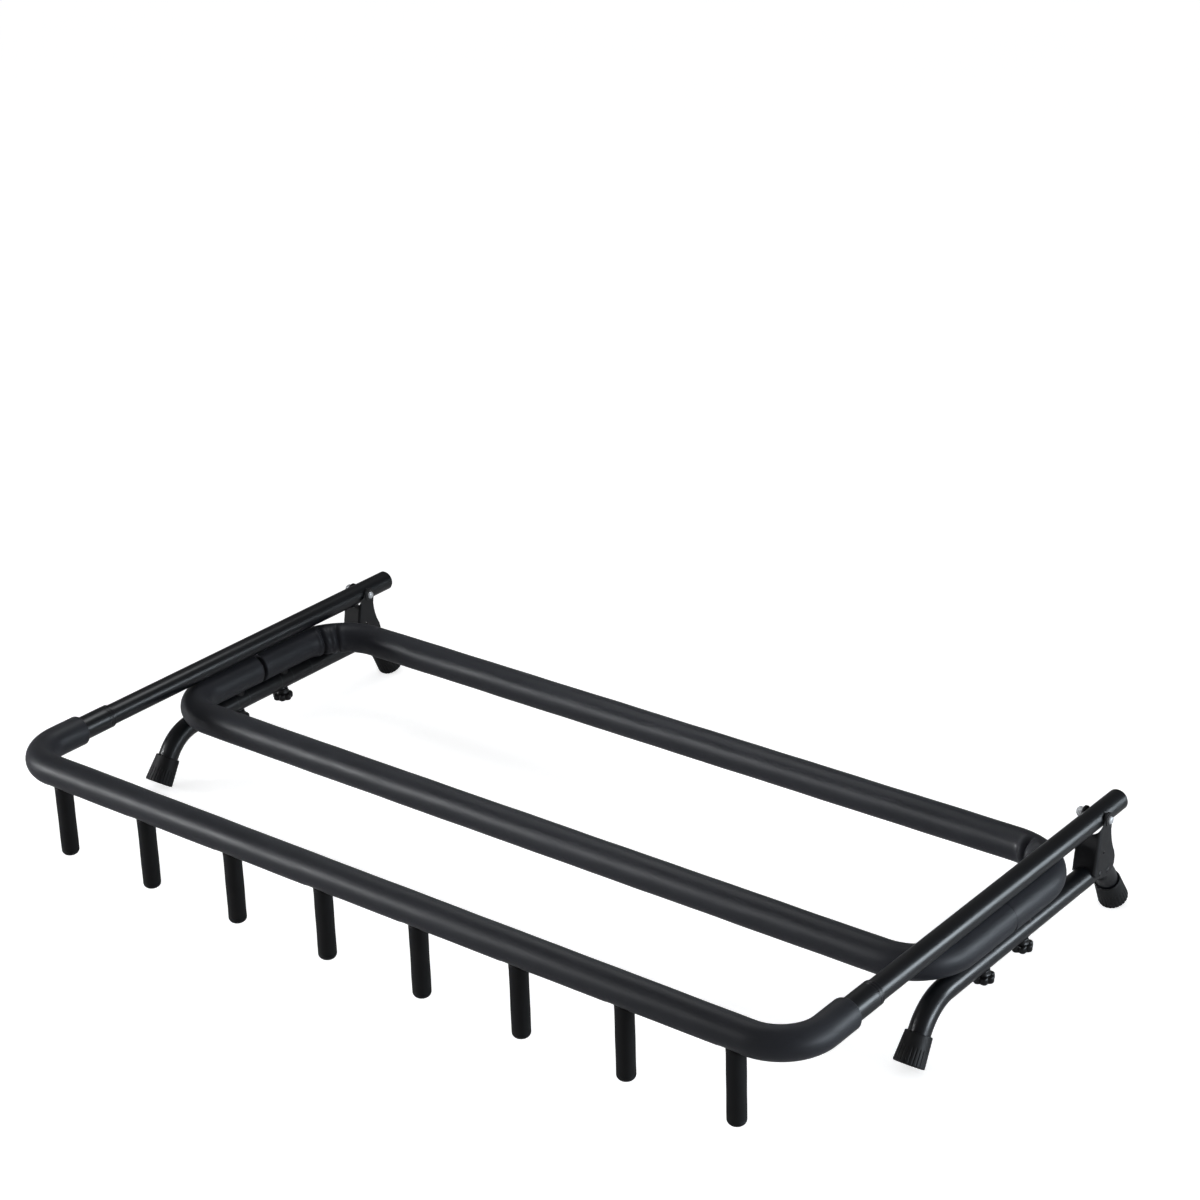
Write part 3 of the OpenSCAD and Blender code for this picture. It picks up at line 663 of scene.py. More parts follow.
@dataclass
class BarShell:
    """A hollow tube or sleeve that follows a U-shaped bar, with a real wall and cut ends."""

    name: str
    line: BarLine
    radius: float
    bore: float
    origin: tuple[float, float, float]
    opening: Opening
    tilt: float = 0.0
    end_round: float = 1.5 * MM
    around: int = 96
    pitch: float = 4 * MM
    bend_pitch: float = 2 * MM
    creases: tuple[Crease, ...] = ()
    grooves: tuple[tuple[float, float, float], ...] = ()
    waver: float = 0.0
    bend_squash: float = 0.0
    squash_reach: float = 0.42
    recesses: tuple[tuple[float, float], ...] = ()
    recess_radius: float = 11 * MM
    recess_slope: float = 0.8 * MM
    recess_skin: float = 0.3 * MM
    puckers: tuple[float, ...] = ()
    pucker_depth: float = 0.5 * MM
    pucker_radius: float = 9.5 * MM
    pucker_fade: float = 3.5 * MM
    rest_tube: tuple[float, float] | None = None
    rest_soft: float = 0.35 * MM
    crowding: float = 0.35
    closed_seam: float = 0.0
    seam_reach: float = 14 * MM
    far_round: float = 0.0

    def build(self) -> bpy.types.Object:
        """Builds the closed shell: bore, cut face, rounded edge, skin, and back again."""
        along, base, skin = self._profile()
        angle = self._angles()
        s = np.repeat(along[:, None], self.around, 1)
        theta = np.repeat(angle[None, :], len(along), 0)
        depth = skin[:, None] * self._relief(s, theta)
        radius = base[:, None] + depth
        points = self._placed(s, theta, radius)
        points = self._closed_up(points, s, theta, skin)
        points = self._recessed(points, s, theta, skin)
        points = self._rested(points, skin)
        grain = np.stack([self.radius * np.cos(theta), self.radius * np.sin(theta), s], -1)
        return lofted_mesh(self.name, points, Ends.LOOPED, grain)

    def _profile(self) -> tuple[np.ndarray, np.ndarray, np.ndarray]:
        """Stations along the bar, their base radius, and 1 on the outer skin, 0 in the bore."""
        length, edge = self.line.length, self.end_round
        inner = merged(np.linspace(0, length, int(length / (2 * self.pitch))),
                       *(self._bend_span(side, 2 * self.bend_pitch) for side in Side))
        outer = merged(np.linspace(edge, length - edge, int(length / self.pitch)),
                       *(self._bend_span(side, self.bend_pitch) for side in Side),
                       *(self._fine_span(c, *CREASE_SPAN) for c in self._crease_places()),
                       *(self._fine_span(p, 3 * w, w / 4) for p, w, _ in self._groove_places()),
                       *(self._fine_span(p, *RECESS_SPAN) for p in self._recess_places()),
                       *(self._fine_span(p, *PUCKER_SPAN) for p in self._pucker_places()))
        outer = outer[(outer > edge) & (outer < length - edge)]
        start_s, start_r = self._cut_end(edge)
        far_s, far_r = self._cut_end(self.far_round or edge)
        along = np.concatenate([start_s, outer, length - far_s[::-1], inner[::-1]])
        base = np.concatenate([start_r, np.full(len(outer), self.radius), far_r[::-1],
                               np.full(len(inner), self.bore)])
        steps = len(quarter_round(edge)[0])
        rounded = np.concatenate([np.zeros(len(start_s) - steps), np.linspace(0.4, 1, steps)])
        skin = np.concatenate([rounded, np.ones(len(outer)), rounded[::-1], np.zeros(len(inner))])
        return along, base, skin

    def _cut_end(self, edge: float) -> tuple[np.ndarray, np.ndarray]:
        """Distance from the end and radius, up the cut face and over its rounded edge."""
        run, drop = quarter_round(edge)
        face = np.linspace(self.bore, self.radius - edge, 5)[1:-1]
        return (np.concatenate([np.zeros(len(face)), edge - run[::-1]]),
                np.concatenate([face, self.radius - drop[::-1]]))

    def _angles(self) -> np.ndarray:
        """Angles round the section, closer together at the bottom where the sleeve rests."""
        even = np.arange(self.around) / self.around * FULL_TURN
        bottom = -math.pi / 2
        return even + self.crowding * np.sin(even - bottom + math.pi) * (1 if self.rest_tube else 0)

    def _fine_span(self, place: float, reach: float, pitch: float) -> np.ndarray:
        """Closer stations round a place."""
        return np.linspace(place - reach, place + reach, max(3, int(2 * reach / pitch)))

    def _bend_span(self, side: Side, pitch: float) -> np.ndarray:
        """Closer stations along a bend and a little past it."""
        start = self.line.bend_start(side)
        past = 4 * MM
        return np.linspace(max(start - past, self.end_round), start + self.line.bend_run + past,
                           int((self.line.bend_run + 2 * past) / pitch))

    def _crease_places(self) -> list[float]:
        """Distance along the bar of each crease."""
        places = []
        for crease in self.creases:
            turned = crease.turn * self.line.bend
            start = self.line.bend_start(crease.side)
            run = self.line.bend_run
            places.append(start + (turned if crease.side is Side.LEFT else run - turned))
        return places

    def _groove_places(self) -> list[tuple[float, float, float]]:
        """Each groove near both ends, as (place, width, depth)."""
        both = []
        for place, width, depth in self.grooves:
            both += [(place, width, depth), (self.line.length - place, width, depth)]
        return both

    def _recess_places(self) -> list[float]:
        """Distance along the bar of each clamp recess, from its (x, y) in the bar's plane."""
        return [self.line.arm - y if x < 0 else self.line.length - self.line.arm + y
                for x, y in self.recesses]

    def _pucker_places(self) -> list[float]:
        """Distance along the bar of each peg, from its x."""
        return [self.line.length / 2 + x for x in self.puckers]

    def _relief(self, s: np.ndarray, theta: np.ndarray) -> np.ndarray:
        """Height of the skin over its base radius.

        Slow sine waves make the foam waver; bends flatten outside and swell inside; creases
        are narrow dips on the inner side with a low swell on both sides; grooves are ring dips.
        """
        high = self.waver * sum(
            wave.share * np.sin(FULL_TURN * s / wave.wavelength + wave.twist * theta + wave.phase)
            for wave in RIPPLES)
        inward = -np.cos(theta)
        for side in Side:
            start = self.line.bend_start(side)
            middle = start + self.line.bend_run / 2
            hump = np.exp(-((s - middle) / (self.squash_reach * self.line.bend_run)) ** 4)
            high = high + self.bend_squash * hump * (0.6 * inward - 0.4 * inward ** 2)
        for crease, place in zip(self.creases, self._crease_places()):
            lean = place + crease.lean * np.sin(theta * 2 + crease.lean_phase)
            across = np.abs(s - lean) / crease.width
            reach = smooth_step(-0.15, 0.75, inward)
            dip = -crease.depth * np.exp(-across ** 1.3)
            beside = (across - crease.swell_place) / crease.swell_width
            swell = crease.swell * crease.depth * np.exp(-beside ** 2)
            high = high + reach * (dip + swell)
        for place, width, depth in self._groove_places():
            high = high - depth * np.exp(-((s - place) / (0.5 * width)) ** 2)
        down = smooth_step(0.2, 0.9, -np.sin(theta))
        for place in self._pucker_places():
            across = np.abs(s - place)
            ring = (np.exp(-((across - self.pucker_radius) / self.pucker_fade) ** 2)
                    + (across < self.pucker_radius))
            high = high - self.pucker_depth * down * np.minimum(ring, 1.0)
        return high

    def _placed(self, s: np.ndarray, theta: np.ndarray, radius: np.ndarray) -> np.ndarray:
        """Section points carried along the bar and put in the rack's frame.

        A point is centre + r (cos theta * outward + sin theta * up), with Y turned the way
        the arms point, then tilted about X and moved to the bar's origin.
        """
        centre, outward = self.line.at(s[:, 0])
        up = np.array([0.0, 0.0, 1.0])
        spoke = (np.cos(theta)[..., None] * outward[:, None, :]
                 + np.sin(theta)[..., None] * up)
        points = centre[:, None, :] + radius[..., None] * spoke
        points[..., 1] *= self.opening.value
        c, d = math.cos(self.tilt), math.sin(self.tilt)
        turned = points.copy()
        turned[..., 1] = c * points[..., 1] - d * points[..., 2]
        turned[..., 2] = d * points[..., 1] + c * points[..., 2]
        return turned + np.array(self.origin)

    def _closed_up(self, points: np.ndarray, s: np.ndarray, theta: np.ndarray,
                   skin: np.ndarray) -> np.ndarray:
        """Draws the right arm's cut end over the seam on its top and outer side."""
        if self.closed_seam == 0:
            return points
        left_over = self.line.length - s
        upper = smooth_step(-0.62, 0.02, np.sin(theta)) * smooth_step(-0.9, 0.1, np.cos(theta))
        pull = self.closed_seam * upper * np.exp(-(left_over / self.seam_reach) ** 2)
        moved = points.copy()
        moved[..., 1] += self.opening.value * pull
        return moved

    def _recessed(self, points: np.ndarray, s: np.ndarray, theta: np.ndarray,
                  skin: np.ndarray) -> np.ndarray:
        """Sinks the underside to the bore round each clamp, where the foam has a punched hole."""
        moved = points.copy()
        under = (np.sin(theta) < 0) & (skin[:, None] > 0.9)
        for x, y in self.recesses:
            centre = np.array([x, self.opening.value * y]) + np.array(self.origin[:2])
            away = np.hypot(points[..., 0] - centre[0], points[..., 1] - centre[1])
            rim = self.recess_radius
            hole = 1 - smooth_step(rim - self.recess_slope, rim + self.recess_slope / 4, away)
            hole = hole * under
            offset = np.stack([points[..., 0] - centre[0], points[..., 2] - self.origin[2]], -1)
            reach = np.maximum(np.hypot(offset[..., 0], offset[..., 1]), 1e-9)
            target = self.bore + self.recess_skin
            scale = 1 + hole * (np.minimum(target / reach, 1) - 1)
            moved[..., 0] = np.where(hole > 0, centre[0] + offset[..., 0] * scale, moved[..., 0])
            moved[..., 2] = np.where(hole > 0, self.origin[2] + offset[..., 1] * scale,
                                     moved[..., 2])
        return moved

    def _rested(self, points: np.ndarray, skin: np.ndarray) -> np.ndarray:
        """Presses the underside flat onto the leg tubes that it rests on.

        A point nearer to a leg's axis than its radius is pushed out to it, with a soft change.
        """
        if self.rest_tube is None:
            return points
        height, radius = self.rest_tube
        moved = points.copy()
        soft = self.rest_soft
        for side in Side:
            x0 = side.value * self.line.half_width
            dx, dz = points[..., 0] - x0, points[..., 2] - height
            away = np.maximum(np.hypot(dx, dz), 1e-9)
            over = (away - radius) / soft
            eased = np.log1p(np.exp(np.minimum(over, FAR_OVER)))
            wanted = radius + soft * np.where(over > FAR_OVER, over, eased)
            near = (np.abs(dx) < 3 * radius) & (skin[:, None] > 0)
            moved[..., 0] = np.where(near, x0 + dx * wanted / away, moved[..., 0])
            moved[..., 2] = np.where(near, height + dz * wanted / away, moved[..., 2])
        return moved


# ---------------------------------------------------------------- cradle


@dataclass
class Cradle:
    """The padded two-piece cradle that the guitars stand on."""

    finishes: Finishes
    half_width: float = 480 * MM
    foam_radius: float = 17 * MM
    tube_radius: float = 11 * MM
    front_bend: float = 50 * MM
    rear_bend: float = 60 * MM
    leg_radius: float = 11 * MM
    leg_height: float = 57.5 * MM
    leg_play: float = 0.12 * MM
    closed_seam: float = 2.44 * MM
    closed_round: float = 0.3 * MM

    def build(self) -> None:
        """Builds both sleeves and dresses the tubes inside them."""
        self._sleeve("front", "cradle_front_foam", Opening.TO_BACK, self.front_bend, ())
        creases = (Crease(Side.LEFT, math.radians(26), 3.6 * MM, 1.9 * MM),
                   Crease(Side.LEFT, math.radians(46), 2.8 * MM, 1.9 * MM),
                   Crease(Side.RIGHT, math.radians(68), 4.0 * MM, 2.2 * MM),
                   Crease(Side.RIGHT, math.radians(48), 1.6 * MM, 2.2 * MM))
        self._sleeve("rear", "cradle_rear_foam", Opening.TO_FRONT, self.rear_bend, creases)
        for node in ("cradle_front_tube", "cradle_rear_tube"):
            self.finishes.dress(frame["nodes"][node], "black_powder_coat")
        self.finishes.dress(frame["nodes"]["cradle_inserts"], "bare_steel")
        self.finishes.dress(frame["nodes"]["saddle_spacers"], "plug_plastic")

    def _sleeve(self, word: str, node: str, opening: Opening, bend: float,
                creases: tuple[Crease, ...]) -> None:
        """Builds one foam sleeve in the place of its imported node.

        Args:
            word: front or rear.
            node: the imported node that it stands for.
            opening: which way the arms point.
            bend: bend radius of the centre line.
            creases: folds on the inside of the bends.
        """
        low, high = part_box(node)
        axis_z = high.z - self.foam_radius
        if opening is Opening.TO_BACK:
            axis_y = low.y + self.foam_radius
            arm = high.y - axis_y
        else:
            axis_y = high.y - self.foam_radius
            arm = axis_y - low.y
        knob_low, knob_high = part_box(f"knob_{word}_right")
        clamp_y = abs((knob_low.y + knob_high.y) / 2 - axis_y)
        sleeve = BarShell(
            f"{word}_cradle_sleeve", BarLine(self.half_width, arm, bend), self.foam_radius,
            self.tube_radius, (0.0, axis_y, axis_z), opening, end_round=1.3 * MM, around=104,
            creases=creases, waver=0.16 * MM, bend_squash=0.7 * MM,
            recesses=tuple((side.value * self.half_width, clamp_y) for side in Side),
            rest_tube=(self.leg_height, self.leg_radius + self.leg_play),
            closed_seam=self.closed_seam, far_round=self.closed_round).build()
        self.finishes.dress(sleeve, "sleeve_foam")
        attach(sleeve, "base")
        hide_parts(node)
        LOG.info("sleeve %s: arm %.1f mm, %d faces", sleeve.name, arm / MM,
                 len(sleeve.data.polygons))


# ---------------------------------------------------------------- peg frame


@dataclass
class PegFrame:
    """The folding frame: uprights, top bar, its sleeve and the row of pegs."""

    finishes: Finishes
    half_width: float = 480 * MM
    foam_radius: float = 16 * MM
    tube_radius: float = 12.5 * MM
    upright_radius: float = 11.1 * MM
    bend: float = 45 * MM
    reach: float = 517 * MM
    dip: float = math.radians(0.3)
    tube_arm: float = 121 * MM
    peg_count: int = 8
    peg_radius: float = 9.1 * MM
    peg_length: float = 92 * MM
    peg_tip: float = 5.5 * MM
    peg_core: float = 4.05 * MM
    core_end: float = 10 * MM
    peg_around: int = 56
    peg_wave: float = 0.08 * MM
    peg_wavelength: float = 43 * MM
    peg_flare: float = 0.35 * MM
    flare_reach: float = 3 * MM
    root_fit: float = 9 * MM
    root_sink: float = 0.5 * MM
    bore_play: float = 0.1 * MM
    phase_step: float = 1.7
    grain_step: float = 0.05

    def build(self) -> None:
        """Builds the top bar, its sleeve and the pegs, and dresses the rest."""
        fold = next(j for j in frame["joints"] if j["name"] == "frame_fold")
        pivot = np.array(fold["pos_m"], float)
        self.origin = (0.0, float(pivot[1] - self.reach * math.cos(self.dip)),
                       float(pivot[2] - self.reach * math.sin(self.dip)))
        self._top_bar()
        self._sleeve()
        for number in range(1, self.peg_count + 1):
            self._peg(number)
        for side in Side:
            self.finishes.dress(frame["nodes"][f"upright_{side.word}"], "black_powder_coat")
            self.finishes.dress(frame["nodes"][f"tail_plug_{side.word}"], "plug_plastic")
        self.finishes.dress(frame["nodes"]["peg_cores"], "bare_steel")

    def _peg_x(self) -> list[float]:
        """X of each peg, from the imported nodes."""
        boxes = [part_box(f"peg_{number}") for number in range(1, self.peg_count + 1)]
        return [(low.x + high.x) / 2 for low, high in boxes]

    def _top_bar(self) -> None:
        """Builds the steel top bar with its two crimped sockets."""
        bar = BarShell(
            "top_bar_steel", BarLine(self.half_width, self.tube_arm, self.bend), self.tube_radius,
            self.upright_radius, self.origin, Opening.TO_BACK, tilt=self.dip, end_round=0.7 * MM,
            around=64, grooves=((3.4 * MM, 1.5 * MM, 0.32 * MM), (7.0 * MM, 1.5 * MM, 0.3 * MM)),
        ).build()
        self.finishes.dress(bar, "black_powder_coat")
        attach(bar, "peg_frame")
        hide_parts("top_bar_tube")
        LOG.info("top bar: %d faces", len(bar.data.polygons))

    def _sleeve(self) -> None:
        """Builds the foam sleeve over the top bar."""
        low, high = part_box("top_bar_foam")
        arm = high.y - (low.y + self.foam_radius)
        sleeve = BarShell(
            "top_bar_sleeve", BarLine(self.half_width, arm, self.bend), self.foam_radius,
            self.tube_radius, self.origin, Opening.TO_BACK, tilt=self.dip, end_round=2.2 * MM,
            around=96, waver=0.13 * MM, bend_squash=0.6 * MM, puckers=tuple(self._peg_x()),
        ).build()
        self.finishes.dress(sleeve, "sleeve_foam")
        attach(sleeve, "peg_frame")
        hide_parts("top_bar_foam")
        LOG.info("top bar sleeve: arm %.1f mm, %d faces", arm / MM, len(sleeve.data.polygons))

    def _peg(self, number: int) -> None:
        """Builds one foam peg sleeve.

        Rings go from the end of the blind bore up its wall, out over the root, which fits
        round the top bar's foam, down the skin and round the tip. The root of a point at
        offset y from the bar's axis lies at depth sqrt(R^2 - y^2).

        Args:
            number: 1 at the left to the peg count at the right.
        """
        low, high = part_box(f"peg_{number}")
        centre_x = (low.x + high.x) / 2
        run, drop = quarter_round(self.peg_tip, 9)
        down = self.peg_length - self.peg_tip
        root = self.foam_radius - self.root_sink
        wall = np.linspace(root + self.flare_reach, down, 34)
        depth = np.concatenate([[self.peg_length - self.core_end, root], [root], wall, down + run])
        radius = np.concatenate([[self.peg_core, self.peg_core], [self.peg_radius + self.bore_play],
                                 np.full(len(wall), self.peg_radius), self.peg_radius - drop])
        rooted = np.concatenate([[0.0, 1.0, 1.0],
                                 1 - smooth_step(root, root + self.root_fit, wall),
                                 np.zeros(len(run))])
        theta = np.arange(self.peg_around) / self.peg_around * FULL_TURN
        wave = self.peg_wave * np.sin(FULL_TURN * depth[:, None] / self.peg_wavelength
                                      + 2 * theta + self.phase_step * number)
        flare = self.peg_flare * np.exp(-((depth - root) / self.flare_reach) ** 2)
        skin = np.concatenate([[0.0, 0.0], [0.3], np.ones(len(wall)), np.linspace(1, 0, len(run))])
        r = radius[:, None] + skin[:, None] * (wave + flare[:, None])
        x = r * np.cos(theta)
        y = r * np.sin(theta)
        sag = root - np.sqrt(np.maximum(root ** 2 - y ** 2, 0))
        z = -(depth[:, None] - rooted[:, None] * sag)
        c, d = math.cos(self.dip), math.sin(self.dip)
        rings = np.stack([x + centre_x, c * y - d * z + self.origin[1],
                          d * y + c * z + self.origin[2]], -1)
        grain = np.stack([x, y + number * self.grain_step,
                          np.broadcast_to(depth[:, None], x.shape)], -1)
        peg = lofted_mesh(f"peg_sleeve_{number}", rings, Ends.CAPPED, grain)
        self.finishes.dress(peg, "peg_foam_skin")
        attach(peg, "peg_frame")
        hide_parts(f"peg_{number}")


# ---------------------------------------------------------------- legs and feet


@dataclass
class FootCap:
    """A moulded rubber foot: a smooth collar, grip ribs and a heel worn flat on the floor."""

    finishes: Finishes
    node: str
    name: str
    slope: float
    towards: int
    length: float = 30 * MM
    collar: float = 13.2 * MM
    foot: float = 15.2 * MM
    leg: float = 11.05 * MM
    sole: float = 6 * MM
    edge: float = 1 * MM
    heel: float = 0.8 * MM
    ribs: int = 24
    rib_depth: float = 0.6 * MM

    def build(self) -> None:
        """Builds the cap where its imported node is."""
        low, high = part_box(self.node)
        c, s = math.cos(self.slope), math.sin(self.slope)
        overhang = max(self.foot * s - self.edge * c, (self.foot - self.edge) * s)
        sole_y = low.y + overhang if self.towards < 0 else high.y - overhang
        sole_z = self.foot * c - self.heel
        centre = np.array([(low.x + high.x) / 2, sole_y, sole_z])
        axis = np.array([0.0, self.towards * c, -s])
        side = np.array([1.0, 0.0, 0.0])
        other = np.cross(axis, side)
        along, radius, ribbed = self._profile()
        theta = np.arange(self.ribs * 12) / (self.ribs * 12) * FULL_TURN
        wave = (theta * self.ribs / FULL_TURN) % 1.0 - 0.5
        groove = np.exp(-(np.abs(wave) / 0.13) ** 3)
        r = radius[:, None] - self.rib_depth * ribbed[:, None] * groove[None, :]
        back = (self.length - along)[:, None, None]
        rings = (centre - back * axis + r[..., None] * (np.cos(theta)[None, :, None] * side
                                                      + np.sin(theta)[None, :, None] * other))
        rings[..., 2] = np.maximum(rings[..., 2], 0.0)
        grain = np.stack([r * np.cos(theta), r * np.sin(theta),
                          np.broadcast_to(along[:, None], r.shape)], -1)
        cap = lofted_mesh(self.name, rings, Ends.CAPPED, grain)
        self.finishes.dress(cap, "foot_rubber_skin")
        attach(cap, "base")
        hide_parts(self.node)
        LOG.info("foot %s: %d faces", cap.name, len(cap.data.polygons))

    def _profile(self) -> tuple[np.ndarray, np.ndarray, np.ndarray]:
        """Distance from the collar, radius and rib share, from the blind bore to the sole.

        The skin leaves the collar with a rounded lip, keeps its width under a small bead, and
        widens to the foot; the sole is dished a little.
        """
        run, drop = quarter_round(self.edge, 5)
        skin = np.linspace(self.edge, self.length - 1.4 * self.edge, 40)
        share_down = (skin - self.edge) / (self.length - 2 * self.edge)
        widen = self.collar + (self.foot - self.collar) * share_down
        rib = smooth_step(0.42 * self.length, 0.5 * self.length, skin)
        sole_run, sole_drop = quarter_round(1.4 * self.edge, 6)
        dish = np.array([0.8, 0.72, 0.4]) * self.foot
        along = np.concatenate([[self.length - self.sole, 0.6 * MM, 0.0],
                                self.edge - run[::-1], skin[1:-1],
                                self.length - 1.4 * self.edge + sole_run,
                                [self.length, self.length - 0.5 * MM, self.length - 0.6 * MM]])
        radius = np.concatenate([[self.leg, self.leg, self.leg + 0.6 * MM],
                                 self.collar - drop[::-1],
                                 widen[1:-1], self.foot - sole_drop, dish])
        share = np.concatenate([np.zeros(3 + len(run)), rib[1:-1],
                                np.linspace(1, 0.5, len(sole_run)),
                                np.zeros(3)])
        return along, radius, share


@dataclass
class Legs:
    """The two bent side legs with their feet."""

    finishes: Finishes
    front_slope: float = math.radians(55)
    rear_slope: float = math.radians(60)

    def build(self) -> None:
        """Dresses the tubes and builds the four feet."""
        for side in Side:
            self.finishes.dress(frame["nodes"][f"leg_{side.word}"], "black_powder_coat_leg")
            for word, slope, towards in (("front", self.front_slope, -1),
                                         ("rear", self.rear_slope, 1)):
                FootCap(self.finishes, f"foot_cap_{word}_{side.word}",
                        f"rubber_foot_{word}_{side.word}", slope, towards).build()


# ---------------------------------------------------------------- clamps and pivots


@dataclass
class ClampKnobs:
    """The four lobed knobs under the legs, each on its own screw."""

    finishes: Finishes
    radius: float = 11.5 * MM
    lobe: float = 3.6 * MM
    lobes: int = 7
    rim: float = 8 * MM
    neck: float = 5 * MM
    boss: float = 6.5 * MM
    cup: float = 2.5 * MM
    screw: float = 3.03 * MM
    bore: float = 9 * MM
    rounding: float = 2.4 * MM
    shoulder: float = 1.3 * MM
    lip: float = 0.4 * MM
    per_lobe: int = 16
    least_inset: float = 0.2 * MM
    neck_start: float = 0.5 * MM
    neck_flare: float = 1.0 * MM
    shelf: float = 1.1 * MM
    belt_rings: int = 5
    cup_draft: float = 0.3 * MM

    def build(self) -> None:
        """Builds every knob in place."""
        for word in ("front", "rear"):
            for side in Side:
                self._knob(word, side)
                self.finishes.dress(frame["nodes"][f"screw_{word}_{side.word}"], "zinc_plate")

    def _outline(self, theta: np.ndarray) -> np.ndarray:
        """Radius of the lobed rim at each angle: the far side of the nearest lobe's circle."""
        pitch = FULL_TURN / self.lobes
        off = (theta + pitch / 2) % pitch - pitch / 2
        centre = self.radius - self.lobe
        inside = np.maximum(self.lobe ** 2 - (centre * np.sin(off)) ** 2, 0)
        return np.maximum(centre * np.cos(off) + np.sqrt(inside), centre)

    def _knob(self, word: str, side: Side) -> None:
        """Builds one knob from its bore, over the neck and the rounded rim, to the cup.

        Args:
            word: front or rear.
            side: left or right.
        """
        node = f"knob_{word}_{side.word}"
        _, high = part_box(node)
        screw_low, screw_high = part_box(f"screw_{word}_{side.word}")
        x0 = (screw_low.x + screw_high.x) / 2
        y0 = (screw_low.y + screw_high.y) / 2
        around = self.lobes * self.per_lobe
        theta = np.arange(around) / around * FULL_TURN
        star = self._outline(theta)
        round_run, round_drop = quarter_round(self.rounding, 7)
        inset = np.clip(star - (self.boss + self.shoulder), self.least_inset, self.rounding)
        shares = round_run / self.rounding
        neck_depth = np.linspace(self.neck_start, self.neck - self.lip, 6)
        neck_radius = self.boss + self.neck_flare * (neck_depth / self.neck) ** 2
        top = self.neck
        bottom = self.neck + self.rim
        rounded = 1.1 * self.rounding
        depth = np.concatenate([[self.bore, 0.0, 0.0], neck_depth, [top],
                                top + round_drop,
                                np.linspace(top + rounded, bottom - rounded, self.belt_rings),
                                bottom - round_drop[::-1],
                                [bottom, bottom - self.lip, bottom - self.cup, bottom - self.cup]])
        flat = np.ones_like(star)
        rows = [flat * self.screw, flat * self.screw, flat * (self.boss - self.lip)]
        rows += [flat * value for value in neck_radius]
        rows += [flat * (self.boss + self.shelf)]
        rows += [star - inset * (1 - share) for share in shares]
        rows += [star] * self.belt_rings
        rows += [star - inset * (1 - share) for share in shares[::-1]]
        rows += [flat * (self.boss + self.lip), flat * self.boss,
                 flat * (self.boss - self.cup_draft), flat * self.boss * 0.4]
        r = np.stack(rows)
        z = np.broadcast_to(high.z - depth[:, None], r.shape)
        rings = np.stack([x0 + r * np.cos(theta), y0 + r * np.sin(theta), z], -1)
        grain = np.stack([r * np.cos(theta), r * np.sin(theta), z], -1)
        knob = lofted_mesh(f"star_knob_{word}_{side.word}", rings, Ends.CAPPED, grain)
        self.finishes.dress(knob, "knob_plastic")
        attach(knob, f"clamp_{word}_{side.word}")
        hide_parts(node)
        LOG.info("knob %s: %d faces", knob.name, len(knob.data.polygons))


@dataclass
class Pivots:
    """The pressed brackets and their bolts, washers, nuts and rivets."""

    finishes: Finishes

    def build(self) -> None:
        """Dresses every pivot part."""
        nodes = {"bracket_left": "black_pressed_steel", "bracket_right": "black_pressed_steel",
                 "bracket_rivets": "black_rivet_paint", "pivot_bolts": "zinc_plate",
                 "pivot_washers": "oiled_washer", "pivot_nuts": "zinc_plate"}
        for node, finish in nodes.items():
            self.finishes.dress(frame["nodes"][node], finish)


# ---------------------------------------------------------------- studio


@dataclass(frozen=True)
class SoftBox:
    """A rectangular soft light: where it stands, what it faces, its size and power."""

    name: str
    place: tuple[float, float, float]
    faces: tuple[float, float, float]
    size: tuple[float, float]
    power: float
    tint: tuple[float, float, float] = (1.0, 1.0, 1.0)
    spread: float = math.pi

    def build(self) -> None:
        """Makes the light."""
        lamp = bpy.data.lights.new(self.name, "AREA")
        lamp.shape = "RECTANGLE"
        lamp.size, lamp.size_y = self.size
        lamp.energy = self.power
        lamp.color = self.tint
        lamp.spread = self.spread
        holder = bpy.data.objects.new(self.name, lamp)
        holder.location = self.place
        toward = Vector(self.faces) - Vector(self.place)
        holder.rotation_euler = toward.to_track_quat("-Z", "Y").to_euler()
        holder.visible_camera = False
        bpy.context.scene.collection.objects.link(holder)


